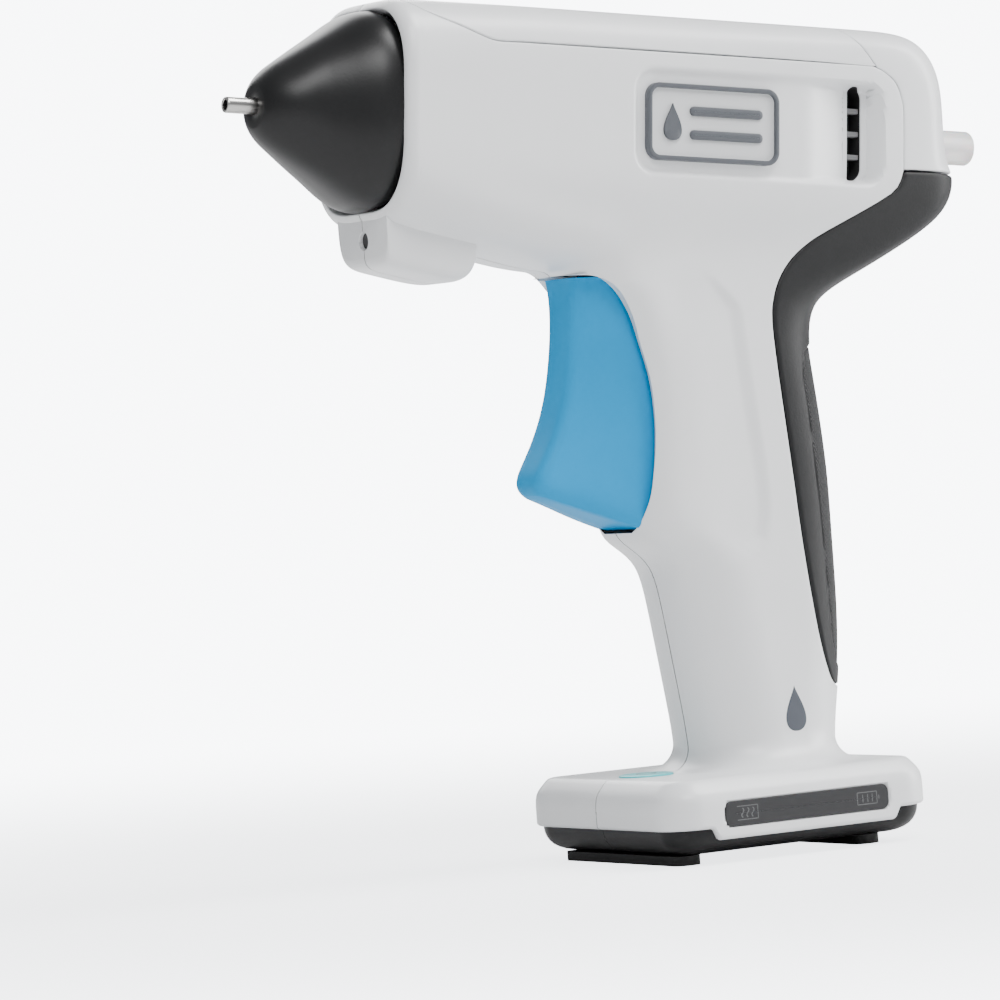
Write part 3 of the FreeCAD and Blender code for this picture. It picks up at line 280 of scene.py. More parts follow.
net = bodyNet()
denseU = np.linspace(0, 1, 900)
denseV = np.linspace(0, 1, 300)
denseGrid = surfaceAt(net, denseU[:, None], denseV[None, :])


search = {"trim": 6, "stride": 3, "rounds": 8, "delta": 1e-4, "flat": 1e-6, "maxMoveU": 0.02, "maxMoveV": 0.05}


# Parameters of the places on the side surface that lie over the given X, Z, by Newton steps.
def locate(points):
    target = points[:, [0, 2]]
    trim, stride, step = search["trim"], search["stride"], search["delta"]
    coarse = denseGrid[::stride, trim:-trim:stride][:, :, [0, 2]]
    gap = ((coarse[None] - target[:, None, None]) ** 2).sum(-1).reshape(len(target), -1).argmin(1)
    u = denseU[::stride][gap // coarse.shape[1]]
    v = denseV[trim:-trim:stride][gap % coarse.shape[1]]
    for _ in range(search["rounds"]):
        here = surfaceAt(net, u, v)[:, [0, 2]]
        du = (surfaceAt(net, np.clip(u + step, 0, 1), v)[:, [0, 2]] - here) / step
        dv = (surfaceAt(net, u, np.clip(v + step, 0, 1))[:, [0, 2]] - here) / step
        miss = target - here
        det = du[:, 0] * dv[:, 1] - du[:, 1] * dv[:, 0]
        det = np.where(np.abs(det) < search["flat"], search["flat"], det)
        moveU = np.clip((miss[:, 0] * dv[:, 1] - miss[:, 1] * dv[:, 0]) / det, -search["maxMoveU"], search["maxMoveU"])
        moveV = np.clip((du[:, 0] * miss[:, 1] - du[:, 1] * miss[:, 0]) / det, -search["maxMoveV"], search["maxMoveV"])
        u = np.clip(u + moveU, 0, 1)
        v = np.clip(v + moveV, 0, 1)
    return u, v


# A Catmull-Rom curve through the points, sampled evenly.
def smoothLine(points, count):
    p = np.asarray(points, float)
    p = np.concatenate([[2 * p[0] - p[1]], p, [2 * p[-1] - p[-2]]])
    t = np.linspace(0, len(p) - 3 - 1e-9, count)
    k = t.astype(int)
    f = (t - k)[:, None]
    a, b, c, d = p[k], p[k + 1], p[k + 2], p[k + 3]
    return 0.5 * (2 * b + (c - a) * f + (2 * a - 5 * b + 4 * c - d) * f ** 2 + (3 * b - a - 3 * c + d) * f ** 3)


seams = {
    "jointLow": barrelLength - 22.0, "jointHigh": barrelLength - 30.5, "height": 13.6,
    "capBehind": barrelLength - 14.3, "capFloor": -7.3, "gap": 0.18, "round": 0.32,
    "coverLine": ((3.0, 21.3), (5.3, 19.3), (8.6, 17.7), (12.5, 16.2), (16.2, 14.7), (20.0, 13.6), (26.0, 13.6)),
    "capLine": ((-5.2, 12.7), (-2.4, 10.9), (-0.9, 8.4), (-0.1, 5.4), (0.0, 1.0)),  # from capBehind, and height
    "capCorner": ((0.0, 0.0), (-1.2, 2.4), (-3.6, 4.6)),  # from where the cap's line ends, and drop
    "gripLine": ((2.3, 26.3), (-3.0, 28.6), (-7.5, 30.9), (-11.6, 34.0), (-14.6, 37.6), (-16.4, 41.6), (-17.1, 46.0),
                 (-16.7, 55.0), (-14.9, 76.0), (-13.6, 91.4), (-12.2, 103.0), (-10.6, 112.0), (-8.6, 118.0),
                 (-6.6, 120.4), (-4.0, 121.2)),  # from the handle's back, and drop
    "mouthLine": ((41.0, 34.3), (45.2, 35.1), (49.0, 38.1), (51.9, 43.0), (53.6, 48.6), (55.5, 56.0), (56.1, 63.5),
                  (55.7, 70.5), (54.4, 78.5), (53.3, 83.0), (52.6, body["lipDrop"])),
}


# The line between the halves' sides and the strip over the top, back and grip, as X, Z points.
def seamPoints():
    front = smoothLine(seams["coverLine"], 80)
    straight = np.stack([np.linspace(27.0, seams["jointLow"], 60), np.full(60, seams["height"])], 1)
    b = seams["capBehind"]
    cap = smoothLine([(seams["jointLow"], seams["height"])] + [(b + along, high) for along, high in seams["capLine"]]
                     + [(b, seams["capFloor"])], 90)
    upper = np.concatenate([front, straight, cap[1:]])
    upper = inBarrel(upper[:, 0], upper[:, 1])
    corner = inBarrel(b, seams["capFloor"]) - ring
    grip = smoothLine([(corner[0] + along, -corner[2] + drop) for along, drop in seams["capCorner"]]
                      + [(body["handleBack"] + along, drop) for along, drop in seams["gripLine"]], 260)
    lower = belowRing(grip[1:, 0], grip[1:, 1])
    return np.concatenate([upper, lower])


# Keeps only the points at which u has grown.
def rising(u, v):
    top = np.maximum.accumulate(u)
    grown = np.concatenate([[True], top[1:] > top[:-1] + 1e-7])
    return u[grown], v[grown]


seamU, seamV = rising(*locate(seamPoints()))
mouthPoints = smoothLine(seams["mouthLine"], 160)
mouthU, mouthV = rising(*locate(belowRing(mouthPoints[:, 0], mouthPoints[:, 1])))
mouthTop, mouthLip = mouthU[0], mouthU[-1]
gripEnd = seamU[-1]
coverStart = seamU[0]
print("seam from", round(coverStart, 4), "to", round(gripEnd, 4), "mouth", round(mouthTop, 4), round(mouthLip, 4))


# Millimetres of surface for a whole unit of u or v, by a central difference.
def span(u, v, stepU, stepV):
    lift = surfaceAt(net, np.clip(u + stepU, 0, 1), np.clip(v + stepV, 0, 1)) \
        - surfaceAt(net, np.clip(u - stepU, 0, 1), np.clip(v - stepV, 0, 1))
    return np.linalg.norm(lift, axis=-1) / (2 * (stepU + stepV))


def spanV(u, v):
    return span(u, v, 0.0, 2e-4)


def spanU(u, v):
    return span(u, v, 2e-4, 0.0)


rimRows = 5  # rows that each rim adds to its side of a grid


# Adds a rounded edge that turns in from one side of the grid and then runs straight in.
def rimmed(grid, side, radius, depth):
    flipped = {"top": lambda g: g, "bottom": lambda g: g[::-1],
               "left": lambda g: g.transpose(1, 0, 2), "right": lambda g: g.transpose(1, 0, 2)[::-1]}[side]
    undone = {"top": lambda g: g, "bottom": lambda g: g[::-1],
              "left": lambda g: g.transpose(1, 0, 2), "right": lambda g: g[::-1].transpose(1, 0, 2)}[side]
    work = flipped(grid)
    normal = flipped(gridNormals(grid) * outwardSign(grid))
    edge, out = work[0], unit(work[0] - work[1])
    normal = unit(normal[1] - (normal[1] * out).sum(-1, keepdims=True) * out)
    rows = []
    for angle in np.linspace(0, math.pi / 2, rimRows)[1:]:
        rows.append(edge + out * radius * math.sin(angle) - normal * radius * (1 - math.cos(angle)))
    rows.append(rows[-1] - normal * depth)
    return undone(np.concatenate([np.stack(rows[::-1]), work]))


# +1 where the grid's own normals already point away from the body's middle line.
def outwardSign(grid):
    normal = gridNormals(grid)
    sideShare = (normal[..., 1] * grid[..., 1]).sum()
    heightShare = (normal[..., 2] * (grid[..., 2] - grid[..., 2].mean())).sum()
    return 1.0 if sideShare + 0.2 * heightShare > 0 else -1.0


# Materials

def newMaterial(name, colour, roughness, **sockets):
    material = bpy.data.materials.new(name)
    material.use_nodes = True
    shader = material.node_tree.nodes["Principled BSDF"]
    shader.inputs["Base Color"].default_value = (*colour, 1.0)
    shader.inputs["Roughness"].default_value = roughness
    for socket, value in sockets.items():
        shader.inputs[socket.replace("_", " ")].default_value = value
    return material


# Cloudy colour, patchy gloss and a fine moulded grain, all from object coordinates.
def addGrain(material, colour, shift, roughness, spread, scale, bump, distance):
    nodes, links = material.node_tree.nodes, material.node_tree.links
    shader = nodes["Principled BSDF"]
    place = nodes.new("ShaderNodeTexCoord")
    cloud = nodes.new("ShaderNodeTexNoise")
    cloud.inputs["Scale"].default_value = 55.0
    cloud.inputs["Detail"].default_value = 3.0
    grain = nodes.new("ShaderNodeTexNoise")
    grain.inputs["Scale"].default_value = scale
    grain.inputs["Detail"].default_value = 2.0
    tint = nodes.new("ShaderNodeValToRGB")
    tint.color_ramp.elements[0].position, tint.color_ramp.elements[1].position = 0.3, 0.7
    tint.color_ramp.elements[0].color = (*[max(c * (1 - shift), 0) for c in colour], 1)
    tint.color_ramp.elements[1].color = (*[min(c * (1 + shift), 1) for c in colour], 1)
    gloss = nodes.new("ShaderNodeMapRange")
    gloss.inputs["To Min"].default_value = roughness - spread
    gloss.inputs["To Max"].default_value = roughness + spread
    relief = nodes.new("ShaderNodeBump")
    relief.inputs["Strength"].default_value = bump
    relief.inputs["Distance"].default_value = distance
    for noise in (cloud, grain):
        links.new(place.outputs["Object"], noise.inputs["Vector"])
    links.new(cloud.outputs["Fac"], tint.inputs["Fac"])
    links.new(tint.outputs["Color"], shader.inputs["Base Color"])
    links.new(cloud.outputs["Fac"], gloss.inputs["Value"])
    links.new(gloss.outputs["Result"], shader.inputs["Roughness"])
    links.new(grain.outputs["Fac"], relief.inputs["Height"])
    links.new(relief.outputs["Normal"], shader.inputs["Normal"])
    return material


def moulded(name, colour, roughness, shift=0.02, spread=0.03, scale=2600.0, bump=0.12, distance=0.00004, **sockets):
    material = newMaterial(name, colour, roughness, **sockets)
    return addGrain(material, colour, shift, roughness, spread, scale, bump, distance)


finishes = {
    "field": moulded("badgeField", (0.62, 0.63, 0.64), 0.4, 0.015, 0.03, 2600.0, 0.08),
    "rib": moulded("ribGrey", (0.20, 0.20, 0.205), 0.45, 0.03, 0.04, 2400.0, 0.12),
    "mark": moulded("panelMark", (0.11, 0.112, 0.115), 0.4, 0.04, 0.03, 2600.0, 0.06),
    "button": moulded("buttonCyan", (0.10, 0.62, 0.66), 0.34, 0.02, 0.03, 2800.0, 0.06),
    "white": moulded("whiteHousing", (0.80, 0.81, 0.82), 0.34, 0.012, 0.03, 3000.0, 0.05, Coat_Weight=0.15,
                     Coat_Roughness=0.2),
    "black": moulded("blackNylon", (0.009, 0.009, 0.0095), 0.36, 0.1, 0.05, 2200.0, 0.25, Specular_IOR_Level=0.32),
    "rubber": moulded("gripRubber", (0.010, 0.0103, 0.011), 0.5, 0.08, 0.05, 2400.0, 0.4, 0.00006,
                      Specular_IOR_Level=0.3),
    "blue": moulded("triggerBlue", (0.0, 0.285, 0.6), 0.42, 0.02, 0.03, 2800.0, 0.06, Specular_IOR_Level=0.06),
    "steel": moulded("turnedSteel", (0.55, 0.54, 0.52), 0.28, 0.05, 0.05, 3500.0, 0.15, 0.00002, Metallic=1.0),
    "grey": moulded("badgeGrey", (0.075, 0.082, 0.094), 0.45, 0.04, 0.04, 2600.0, 0.15),
    "slate": moulded("slateInlay", (0.065, 0.073, 0.09), 0.42, 0.04, 0.04, 2600.0, 0.15),
    # Near-black finish for the vent pocket floor and the slot well: painted shade where the slots look into the body
    "ventShade": moulded("paintedVentShade", (0.02, 0.02, 0.021), 0.5, 0.06, 0.05, 2200.0, 0.2),
    "panel": moulded("smokedPanel", (0.03, 0.0305, 0.032), 0.3, 0.05, 0.03, 2600.0, 0.05, Specular_IOR_Level=0.35),
    "tray": moulded("trayBlack", (0.006, 0.006, 0.0065), 0.38, 0.08, 0.04, 2400.0, 0.2, Specular_IOR_Level=0.25),
    "foot": moulded("footRubber", (0.016, 0.016, 0.016), 0.7, 0.08, 0.05, 2400.0, 0.4),
    "glue": moulded("glueStick", (0.86, 0.86, 0.85), 0.3, 0.01, 0.04, 900.0, 0.08, Transmission_Weight=0.35, IOR=1.45,
                    Subsurface_Weight=0.4, Subsurface_Scale=0.004),
    "inner": moulded("innerNylon", (0.11, 0.11, 0.12), 0.5, 0.05, 0.05, 2200.0, 0.2),
    "aluminium": moulded("castAluminium", (0.6, 0.6, 0.61), 0.45, 0.06, 0.06, 1800.0, 0.3, 0.00005, Metallic=1.0),
    "insulator": moulded("phenolic", (0.4, 0.31, 0.18), 0.6, 0.08, 0.05, 1600.0, 0.3),
    "ceramic": moulded("firedCeramic", (0.76, 0.75, 0.7), 0.7, 0.03, 0.04, 1900.0, 0.2),
    "silicone": moulded("redSilicone", (0.42, 0.05, 0.035), 0.5, 0.05, 0.04, 1700.0, 0.2),
    "board": moulded("solderMask", (0.015, 0.14, 0.06), 0.35, 0.1, 0.05, 1500.0, 0.15),
    "cellWrap": moulded("cellWrap", (0.04, 0.17, 0.4), 0.3, 0.04, 0.04, 900.0, 0.05),
    "blackened": moulded("blackenedSteel", (0.16, 0.16, 0.165), 0.4, 0.06, 0.05, 2500.0, 0.2, Metallic=1.0),
}
print("materials made")

# Camera, floor and light

view = {"turn": 30.89, "rise": 0.85, "roll": 4.20, "distance": 1116.97, "focal": 5624.8,
        "target": (25.59, 0.0, -77.94), "frameWidth": 1000.0, "sensor": 36.0}


def placeObject(name, data, right, up, back, place=(0.0, 0.0, 0.0)):
    placed = bpy.data.objects.new(name, data)
    matrix = np.eye(4)
    matrix[:3, 0], matrix[:3, 1], matrix[:3, 2], matrix[:3, 3] = right, up, back, place
    placed.matrix_world = Matrix(matrix.tolist())
    bpy.context.scene.collection.objects.link(placed)
    return placed


def makeCamera():
    turn, rise, roll = (math.radians(view[k]) for k in ("turn", "rise", "roll"))
    toCamera = np.array([-math.sin(turn) * math.cos(rise), -math.cos(turn) * math.cos(rise), math.sin(rise)])
    right = np.array([math.cos(turn), -math.sin(turn), 0.0])
    up = np.cross(toCamera, right)
    rolledRight = right * math.cos(roll) - up * math.sin(roll)
    rolledUp = right * math.sin(roll) + up * math.cos(roll)
    data = bpy.data.cameras.new("sideCamera")
    data.sensor_width = view["sensor"]
    data.lens = view["focal"] / view["frameWidth"] * view["sensor"]
    data.clip_start, data.clip_end = 0.05, 50.0
    place = (ring + np.array(view["target"]) + toCamera * view["distance"]) * mm
    bpy.context.scene.camera = placeObject("sideCamera", data, rolledRight, rolledUp, toCamera, place)


def areaLight(name, place, aim, side, power):
    data = bpy.data.lights.new(name, "AREA")
    data.shape = "RECTANGLE"
    data.size, data.size_y = side
    data.energy = power
    back = unit(np.array(place, float) - np.array(aim, float))
    across = unit(np.cross([0.0, 0.0, 1.0], back))
    placeObject(name, data, across, np.cross(back, across), back, place)


studio = {
    "floorSize": 40.0, "floorColour": (0.80, 0.80, 0.805), "worldColour": (0.94, 0.965, 1.0), "fill": 0.36,
    "backdrop": 9.0, "fade": (0.1, 0.55), "nearShare": 0.35,
    "sunStrength": 3.1, "sunAngle": 30.0, "sunFrom": (0.45, -0.35, 1.0),
    "lamps": (("keyLight", (-0.35, -0.75, 0.95), (0.0, 0.0, 0.09), (0.5, 0.5), 9.0),
              ("edgeLight", (0.75, -0.25, 0.30), (0.02, 0.0, 0.09), (0.25, 0.8), 7.0),
              ("backLight", (0.2, 0.9, 0.6), (0.0, 0.0, 0.1), (0.7, 0.5), 6.0)),
}


# Pale matt floor that the camera sees turning into the backdrop with distance.
def fadingFloor():
    material = moulded("paleFloor", studio["floorColour"], 0.6, 0.005, 0.03, 40.0, 0.02)
    nodes, links = material.node_tree.nodes, material.node_tree.links
    place, length = nodes.new("ShaderNodeTexCoord"), nodes.new("ShaderNodeVectorMath")
    far = nodes.new("ShaderNodeMapRange")
    length.operation = "LENGTH"
    far.interpolation_type = "SMOOTHSTEP"
    far.inputs["From Min"].default_value, far.inputs["From Max"].default_value = studio["fade"]
    far.inputs["To Min"].default_value = studio["nearShare"]
    ray, both = nodes.new("ShaderNodeLightPath"), nodes.new("ShaderNodeMath")
    both.operation = "MULTIPLY"
    glow, mix = nodes.new("ShaderNodeEmission"), nodes.new("ShaderNodeMixShader")
    glow.inputs["Color"].default_value = (*studio["worldColour"], 1)
    glow.inputs["Strength"].default_value = studio["backdrop"]
    links.new(place.outputs["Object"], length.inputs[0])
    links.new(length.outputs["Value"], far.inputs["Value"])
    links.new(far.outputs["Result"], both.inputs[0])
    links.new(ray.outputs["Is Camera Ray"], both.inputs[1])
    links.new(both.outputs[0], mix.inputs["Fac"])
    links.new(nodes["Principled BSDF"].outputs[0], mix.inputs[1])
    links.new(glow.outputs[0], mix.inputs[2])
    links.new(mix.outputs[0], nodes["Material Output"].inputs["Surface"])
    return material


def makeStudio():
    half = studio["floorSize"] / 2
    ticks = np.linspace(-half, half, 9)
    x, y = np.meshgrid(ticks, ticks, indexing="ij")
    grid = np.stack([x, y, 0 * x], -1)
    mesh = bpy.data.meshes.new("studioFloor")
    mesh.from_pydata(grid.reshape(-1, 3).tolist(), [], quads(9, 9).tolist())
    mesh.materials.append(fadingFloor())
    floor = bpy.data.objects.new("studioFloor", mesh)
    bpy.context.scene.collection.objects.link(floor)
    world = bpy.data.worlds.new("studioWorld")
    world.use_nodes = True
    nodes, links = world.node_tree.nodes, world.node_tree.links
    backdrop = nodes["Background"]
    backdrop.inputs["Color"].default_value = (*studio["worldColour"], 1)
    ray = nodes.new("ShaderNodeLightPath")
    level = nodes.new("ShaderNodeMapRange")
    level.inputs["To Min"].default_value = studio["fill"]
    level.inputs["To Max"].default_value = studio["backdrop"]
    links.new(ray.outputs["Is Camera Ray"], level.inputs["Value"])
    links.new(level.outputs["Result"], backdrop.inputs["Strength"])
    bpy.context.scene.world = world
    sun = bpy.data.lights.new("softSun", "SUN")
    sun.energy = studio["sunStrength"]
    sun.angle = math.radians(studio["sunAngle"])
    back = unit(np.array(studio["sunFrom"]))
    across = unit(np.cross([0.0, 1.0, 0.0], back))
    placeObject("softSun", sun, across, np.cross(back, across), back)
    for lamp in studio["lamps"]:
        areaLight(*lamp)


makeCamera()
makeStudio()
print("camera and studio made")

# Housing halves

housing = {
    "rowStep": 1.0, "outerColumns": 118, "innerColumns": 30, "centreGap": 0.12, "rimRun": 2.6, "rimFall": 1.9,
    "tunnel": 12.0, "tunnelHalf": 9.8, "tunnelWall": 0.9, "recess": (51.3, barrelLength - 19.0, -11.3, 10.6),
    "recessCorner": 5.0, "recessDepth": 1.0, "recessEdge": 1.5, "recessSideRun": 2.2, "rampStart": 0.7 * barrelLength,
    "ventFront": barrelLength - 26.0, "ventRear": barrelLength - 22.5, "ventDepth": 4.3, "ventPocket": 5.0,
    "ventLow": -9.6, "ventHigh": 9.5, "ventCorner": 2.5, "pocketLow": -10.3, "pocketHigh": 10.2, "pocketMargin": 0.8,
    "flareFront": 5.0, "flareSide": 7.5, "flareRear": 3.4, "flareCentre": 82.0,
    "fineMarks": ((3.4, 0.0), (51.0, 11.0), (51.0, -12.0), (104.9, 9.6), (104.9, -10.2), (110.2, 9.6), (110.2, -10.2),
                  (113.0, -11.5)),  # s, w of the places between which the rows stand closer
}


# Signed distance to a rectangle with round corners, negative inside.
def roundedBoxDistance(a, b, low, high, radius):
    centre = (np.array(low) + np.array(high)) / 2
    half = (np.array(high) - np.array(low)) / 2 - radius
    da, db = np.abs(a - centre[0]) - half[0], np.abs(b - centre[1]) - half[1]
    outside = np.hypot(np.maximum(da, 0), np.maximum(db, 0))
    return outside + np.minimum(np.maximum(da, db), 0) - radius


# How far the barrel's side is set in: a soft step, a ramp to the vents, a slot pocket and a short rise.
def recessDepth(s, w):
    front, rear, low, high = housing["recess"]
    toEdge = -roundedBoxDistance(s, w, (front, low), (rear, high), housing["recessCorner"])
    inside = smooth(toEdge / housing["recessEdge"])
    ramp = smooth((s - housing["rampStart"]) / (housing["ventFront"] - housing["rampStart"]))
    wallRise = smooth((rear - s) / (rear - housing["ventRear"] - 0.4))
    sideWall = smooth(np.minimum(w - low, high - w) / housing["recessSideRun"])
    depth = housing["recessDepth"] + (housing["ventDepth"] - housing["recessDepth"]) * ramp * wallRise * sideWall
    return inside * depth


def ventMask(s, w):
    margin = housing["pocketMargin"]
    pocket = roundedBoxDistance(s, w, (housing["ventFront"] - margin, housing["pocketLow"]),
                                (housing["ventRear"] + margin, housing["pocketHigh"]), 2.6)
    return smooth(-pocket / 0.35)


thumb = {
    "depth": 0.75, "topDrop": 33.0, "topRun": 10.0, "endDrop": 97.0, "endRun": 9.0, "frontBehind": 54.0,
    "frontRun": 9.0, "rearRun": 3.6, "drops": (30, 37, 43, 50, 63, 76, 84, 90, 94, 98),
    "rearLine": (66, 71.5, 76.8, 77.5, 78.8, 80.2, 80.6, 79.0, 72, 64),
}


# A shallow scoop on the handle's side behind the trigger: its depth is the product of four smooth steps.
def thumbHollow(points):
    behind, drop = points[..., 0] - ring[0], ring[2] - points[..., 2]
    rearLine = np.interp(drop, thumb["drops"], thumb["rearLine"])
    along = smooth((drop - thumb["topDrop"]) / thumb["topRun"]) * smooth((thumb["endDrop"] - drop) / thumb["endRun"])
    return thumb["depth"] * along * smooth((rearLine - behind) / thumb["rearRun"]) \
        * smooth((behind - thumb["frontBehind"]) / thumb["frontRun"])


# Concave quarter round where the handle spreads into the base, larger at the sides.
def handleFlare(points):
    height = points[..., 2] - body["baseTop"]
    centre = np.array([ring[0] + housing["flareCentre"], 0.0])
    away = unit(points[..., :2] - centre)
    reach = np.where(away[..., 0] < 0, housing["flareFront"], housing["flareRear"]) * away[..., 0] ** 2 \
        + housing["flareSide"] * away[..., 1] ** 2
    spread = reach - np.sqrt(np.maximum(reach ** 2 - np.maximum(reach - height, 0) ** 2, 0))
    shifted = points.copy()
    shifted[..., :2] += away * spread[..., None]
    return shifted


# Quarter-round narrowing of the width towards the ring, as a factor.
def rimNarrowing(s):
    left = np.clip(1 - s / housing["rimRun"], 0, 1)
    return 1 - housing["rimFall"] / body["halfWidth"] * (1 - np.sqrt(1 - left ** 2))


# Rows of u about one step apart along the body, between two parameters.
def rowParameters(step, low, high, v=0.33):
    dense = np.linspace(low, high, 3000)
    line = surfaceAt(net, dense, np.full_like(dense, v))
    travel = np.concatenate([[0], np.cumsum(np.linalg.norm(np.diff(line, axis=0), axis=1))])
    count = max(int(travel[-1] / step), 4)
    return np.interp(np.linspace(0, travel[-1], count + 1), travel, dense)


# v of the seam at u: nothing before the cover starts or after the grip ends.
def stripEdge(u):
    inside = u >= coverStart
    return np.where(inside, np.interp(u, seamU, seamV), 0.0), inside


# One side of the body: rows of u, seam to mouth edge to middle plane, with recess, vents, scoop, flare and mouth.
def housingHalf():
    breaks = [0.0, coverStart - 1e-5, coverStart, mouthTop - 1e-5, mouthTop, mouthLip, mouthLip + 2e-4,
              gripEnd, gripEnd + 2e-4, 1.0]
    marks = locate(inBarrel(*np.array(housing["fineMarks"]).T))[0]
    flareTop = locate(belowRing([80.0], [ring[2] - body["baseTop"] - 9.0]))[0][0]
    zones = ((0.0, marks[0], 0.25), (marks[1:3].min(), marks[7], 0.4), (marks[3:7].min(), marks[3:7].max(), 0.2),
             (flareTop, 1.0, 0.4))
    pieces = []
    for low, high in zip(breaks[::2], breaks[1::2]):
        cuts = sorted({low, high, *[c for zone in zones for c in zone[:2] if low < c < high]})
        for a, b in zip(cuts, cuts[1:]):
            step = min([housing["rowStep"]] + [z for start, end, z in zones if start <= (a + b) / 2 <= end])
            rows = rowParameters(step, a, b)
            pieces.append(rows if b == high else rows[:-1])
    u = np.concatenate(pieces)
    edge, onSeam = stripEdge(u)
    allowance = (seams["gap"] / 2 + seams["round"]) / np.maximum(spanV(u, np.clip(edge, 0.002, 1)), 1.0)
    start = edge + allowance
    join = np.interp(u, mouthU, mouthV)
    inMouth = (u >= mouthTop) & (u <= mouthLip)
    endAllowance = housing["centreGap"] / np.maximum(spanV(u, np.full_like(u, 0.998)), 1.0)
    t = np.linspace(0, 1, housing["outerColumns"])
    outer = start[:, None] + (join - start)[:, None] * t[None]
    q = np.linspace(0, 1, housing["innerColumns"] + 1)[1:]
    inner = join[:, None] + (1 - endAllowance - join)[:, None] * q[None]
    v = np.concatenate([outer, inner], 1)
    grid = surfaceAt(net, u[:, None], v)
    s, w = barrelCoordinates(grid)
    grid[..., 1] -= (recessDepth(s, w) + ventMask(s, w) * housing["ventPocket"]) * (grid[..., 1] > 8)
    grid[..., 1] -= thumbHollow(grid) * smooth((grid[..., 1] - 6) / 6)
    grid = handleFlare(grid)
    grid[..., 1] *= rimNarrowing(s)
    # inside the mouth the columns past its edge turn in and run back as the wall beside the trigger
    edgeColumn = housing["outerColumns"] - 1
    lipPoint = grid[:, edgeColumn]
    depth = np.concatenate([[0.1, 0.35, 0.8], np.linspace(1.6, housing["tunnel"], len(q) - 3)])
    sink = np.clip(depth / 0.8, 0, 1)
    target = np.maximum(lipPoint[:, None, 1] - housing["tunnelHalf"], 0) * (1 - sink ** 2) + housing["tunnelHalf"]
    skinY = np.array([np.interp(row[-1, 0] + depth, row[::-1, 0], row[::-1, 1]) for row in grid[:, :edgeColumn + 1]])
    wallY = np.minimum(target, skinY - housing["tunnelWall"] * np.minimum(depth, 1.0))
    wallZ = np.broadcast_to(lipPoint[:, None, 2], wallY.shape)
    tunnel = np.stack([lipPoint[:, None, 0] + depth[None], wallY, wallZ], -1)
    grid[inMouth, edgeColumn + 1:] = tunnel[inMouth]
    return u, grid, s, w


lug = {
    "rows": ((-1.2, 28.6), (-1.15, 29.6), (-0.6, 30.5), (0.8, 31.2), (3.0, 31.8), (6.0, 32.6), (9.0, 33.4),
             (12.0, 34.1),
             (14.6, 34.5), (16.6, 34.3), (18.2, 33.2), (19.0, 31.2), (19.2, 28.6), (19.3, 26.0), (19.9, 24.8),
             (21.0, 24.2)),
    "halfWidth": 9.75, "corner": 3.0, "lampDrop": 25.2, "lampRadius": 1.9, "frontTop": 20.3, "rearTop": 18.0,
    "topStep": 6.0,
}


# The block under the nose, as a surface over its own control net, with the lamp's hole in its front face.
def lugHalf():
    rows = []
    half, radius = lug["halfWidth"], lug["corner"]
    for behind, bottom in lug["rows"]:
        top = lug["frontTop"] if behind < lug["topStep"] else lug["rearTop"]
        section = [(top, 0.0), (top - 0.2, half * 0.6), (top - 1.0, half), (top + 0.6, half),
                   (bottom - radius * 1.6, half),
                   (bottom - radius * 0.6, half - 0.1 * radius), (bottom - 0.1 * radius, half - 0.6 * radius),
                   (bottom, half - radius * 1.6), (bottom, half * 0.4), (bottom, 0.0)]
        rows.append([belowRing(behind, drop, y) for drop, y in section])
    grid = surfaceAt(np.array(rows), np.linspace(0, 1, 90)[:, None], np.linspace(0.0, 1, 70)[None])
    front = grid[0]
    middle = belowRing(front[0, 0] - ring[0], lug["lampDrop"])
    lampRim = middle + unit(front - middle) * lug["lampRadius"]
    cap = lampRim[None] + (front - lampRim)[None] * np.linspace(0.0, 1, 14)[:-1, None, None]
    hole = lampRim[None] - (lampRim - middle)[None] * 0.06 + np.array([1.0, 0, 0]) * np.array([4.0, 2.0, 0.2])[:,
                                                                                                               None,
                                                                                                               None]
    joined = np.concatenate([hole, cap, grid])
    joined[..., 1] = np.maximum(joined[..., 1], 0.08)
    return joined


mouth = {"half": 10.2, "shelfLift": 0.02, "shelfSet": 0.25, "shelfRear": 70.0, "ceilingFront": 43.5, "ceilingBow": 9.0,
         "ceilingRear": 66.0, "ceilingDrop": 33.0, "ceilingSag": 1.6}


# Shelf under the trigger's foot and the ceiling over its top, closing the mouth's two ends.
def lipFloor():
    across = np.linspace(0.0, mouth["half"], 24)
    run = np.linspace(0, 1, 30)[:, None]
    outline = halfGrid[np.searchsorted(halfU, mouthLip) + 1][::-1]
    front = np.interp(across, outline[:, 1], outline[:, 0] - ring[0]) + mouth["shelfSet"]
    low = belowRing(front + (mouth["shelfRear"] - front) * run, body["lipDrop"] + mouth["shelfLift"], across)
    bow = (across / mouth["half"]) ** 2
    front = mouth["ceilingFront"] + mouth["ceilingBow"] * bow
    high = belowRing(front + (mouth["ceilingRear"] - front) * run, mouth["ceilingDrop"] + mouth["ceilingSag"] * bow,
                     across)
    return low, high


baseShape = {"length": 63.4, "width": 58.0, "corner": 8.0, "behind": 74.3, "skirtLow": 7.9, "dip": 2.4, "dipHalf": 22.6,
             "dipRun": 1.8, "skirtDrop": 5.6}
baseCentre = ring[0] + baseShape["behind"]


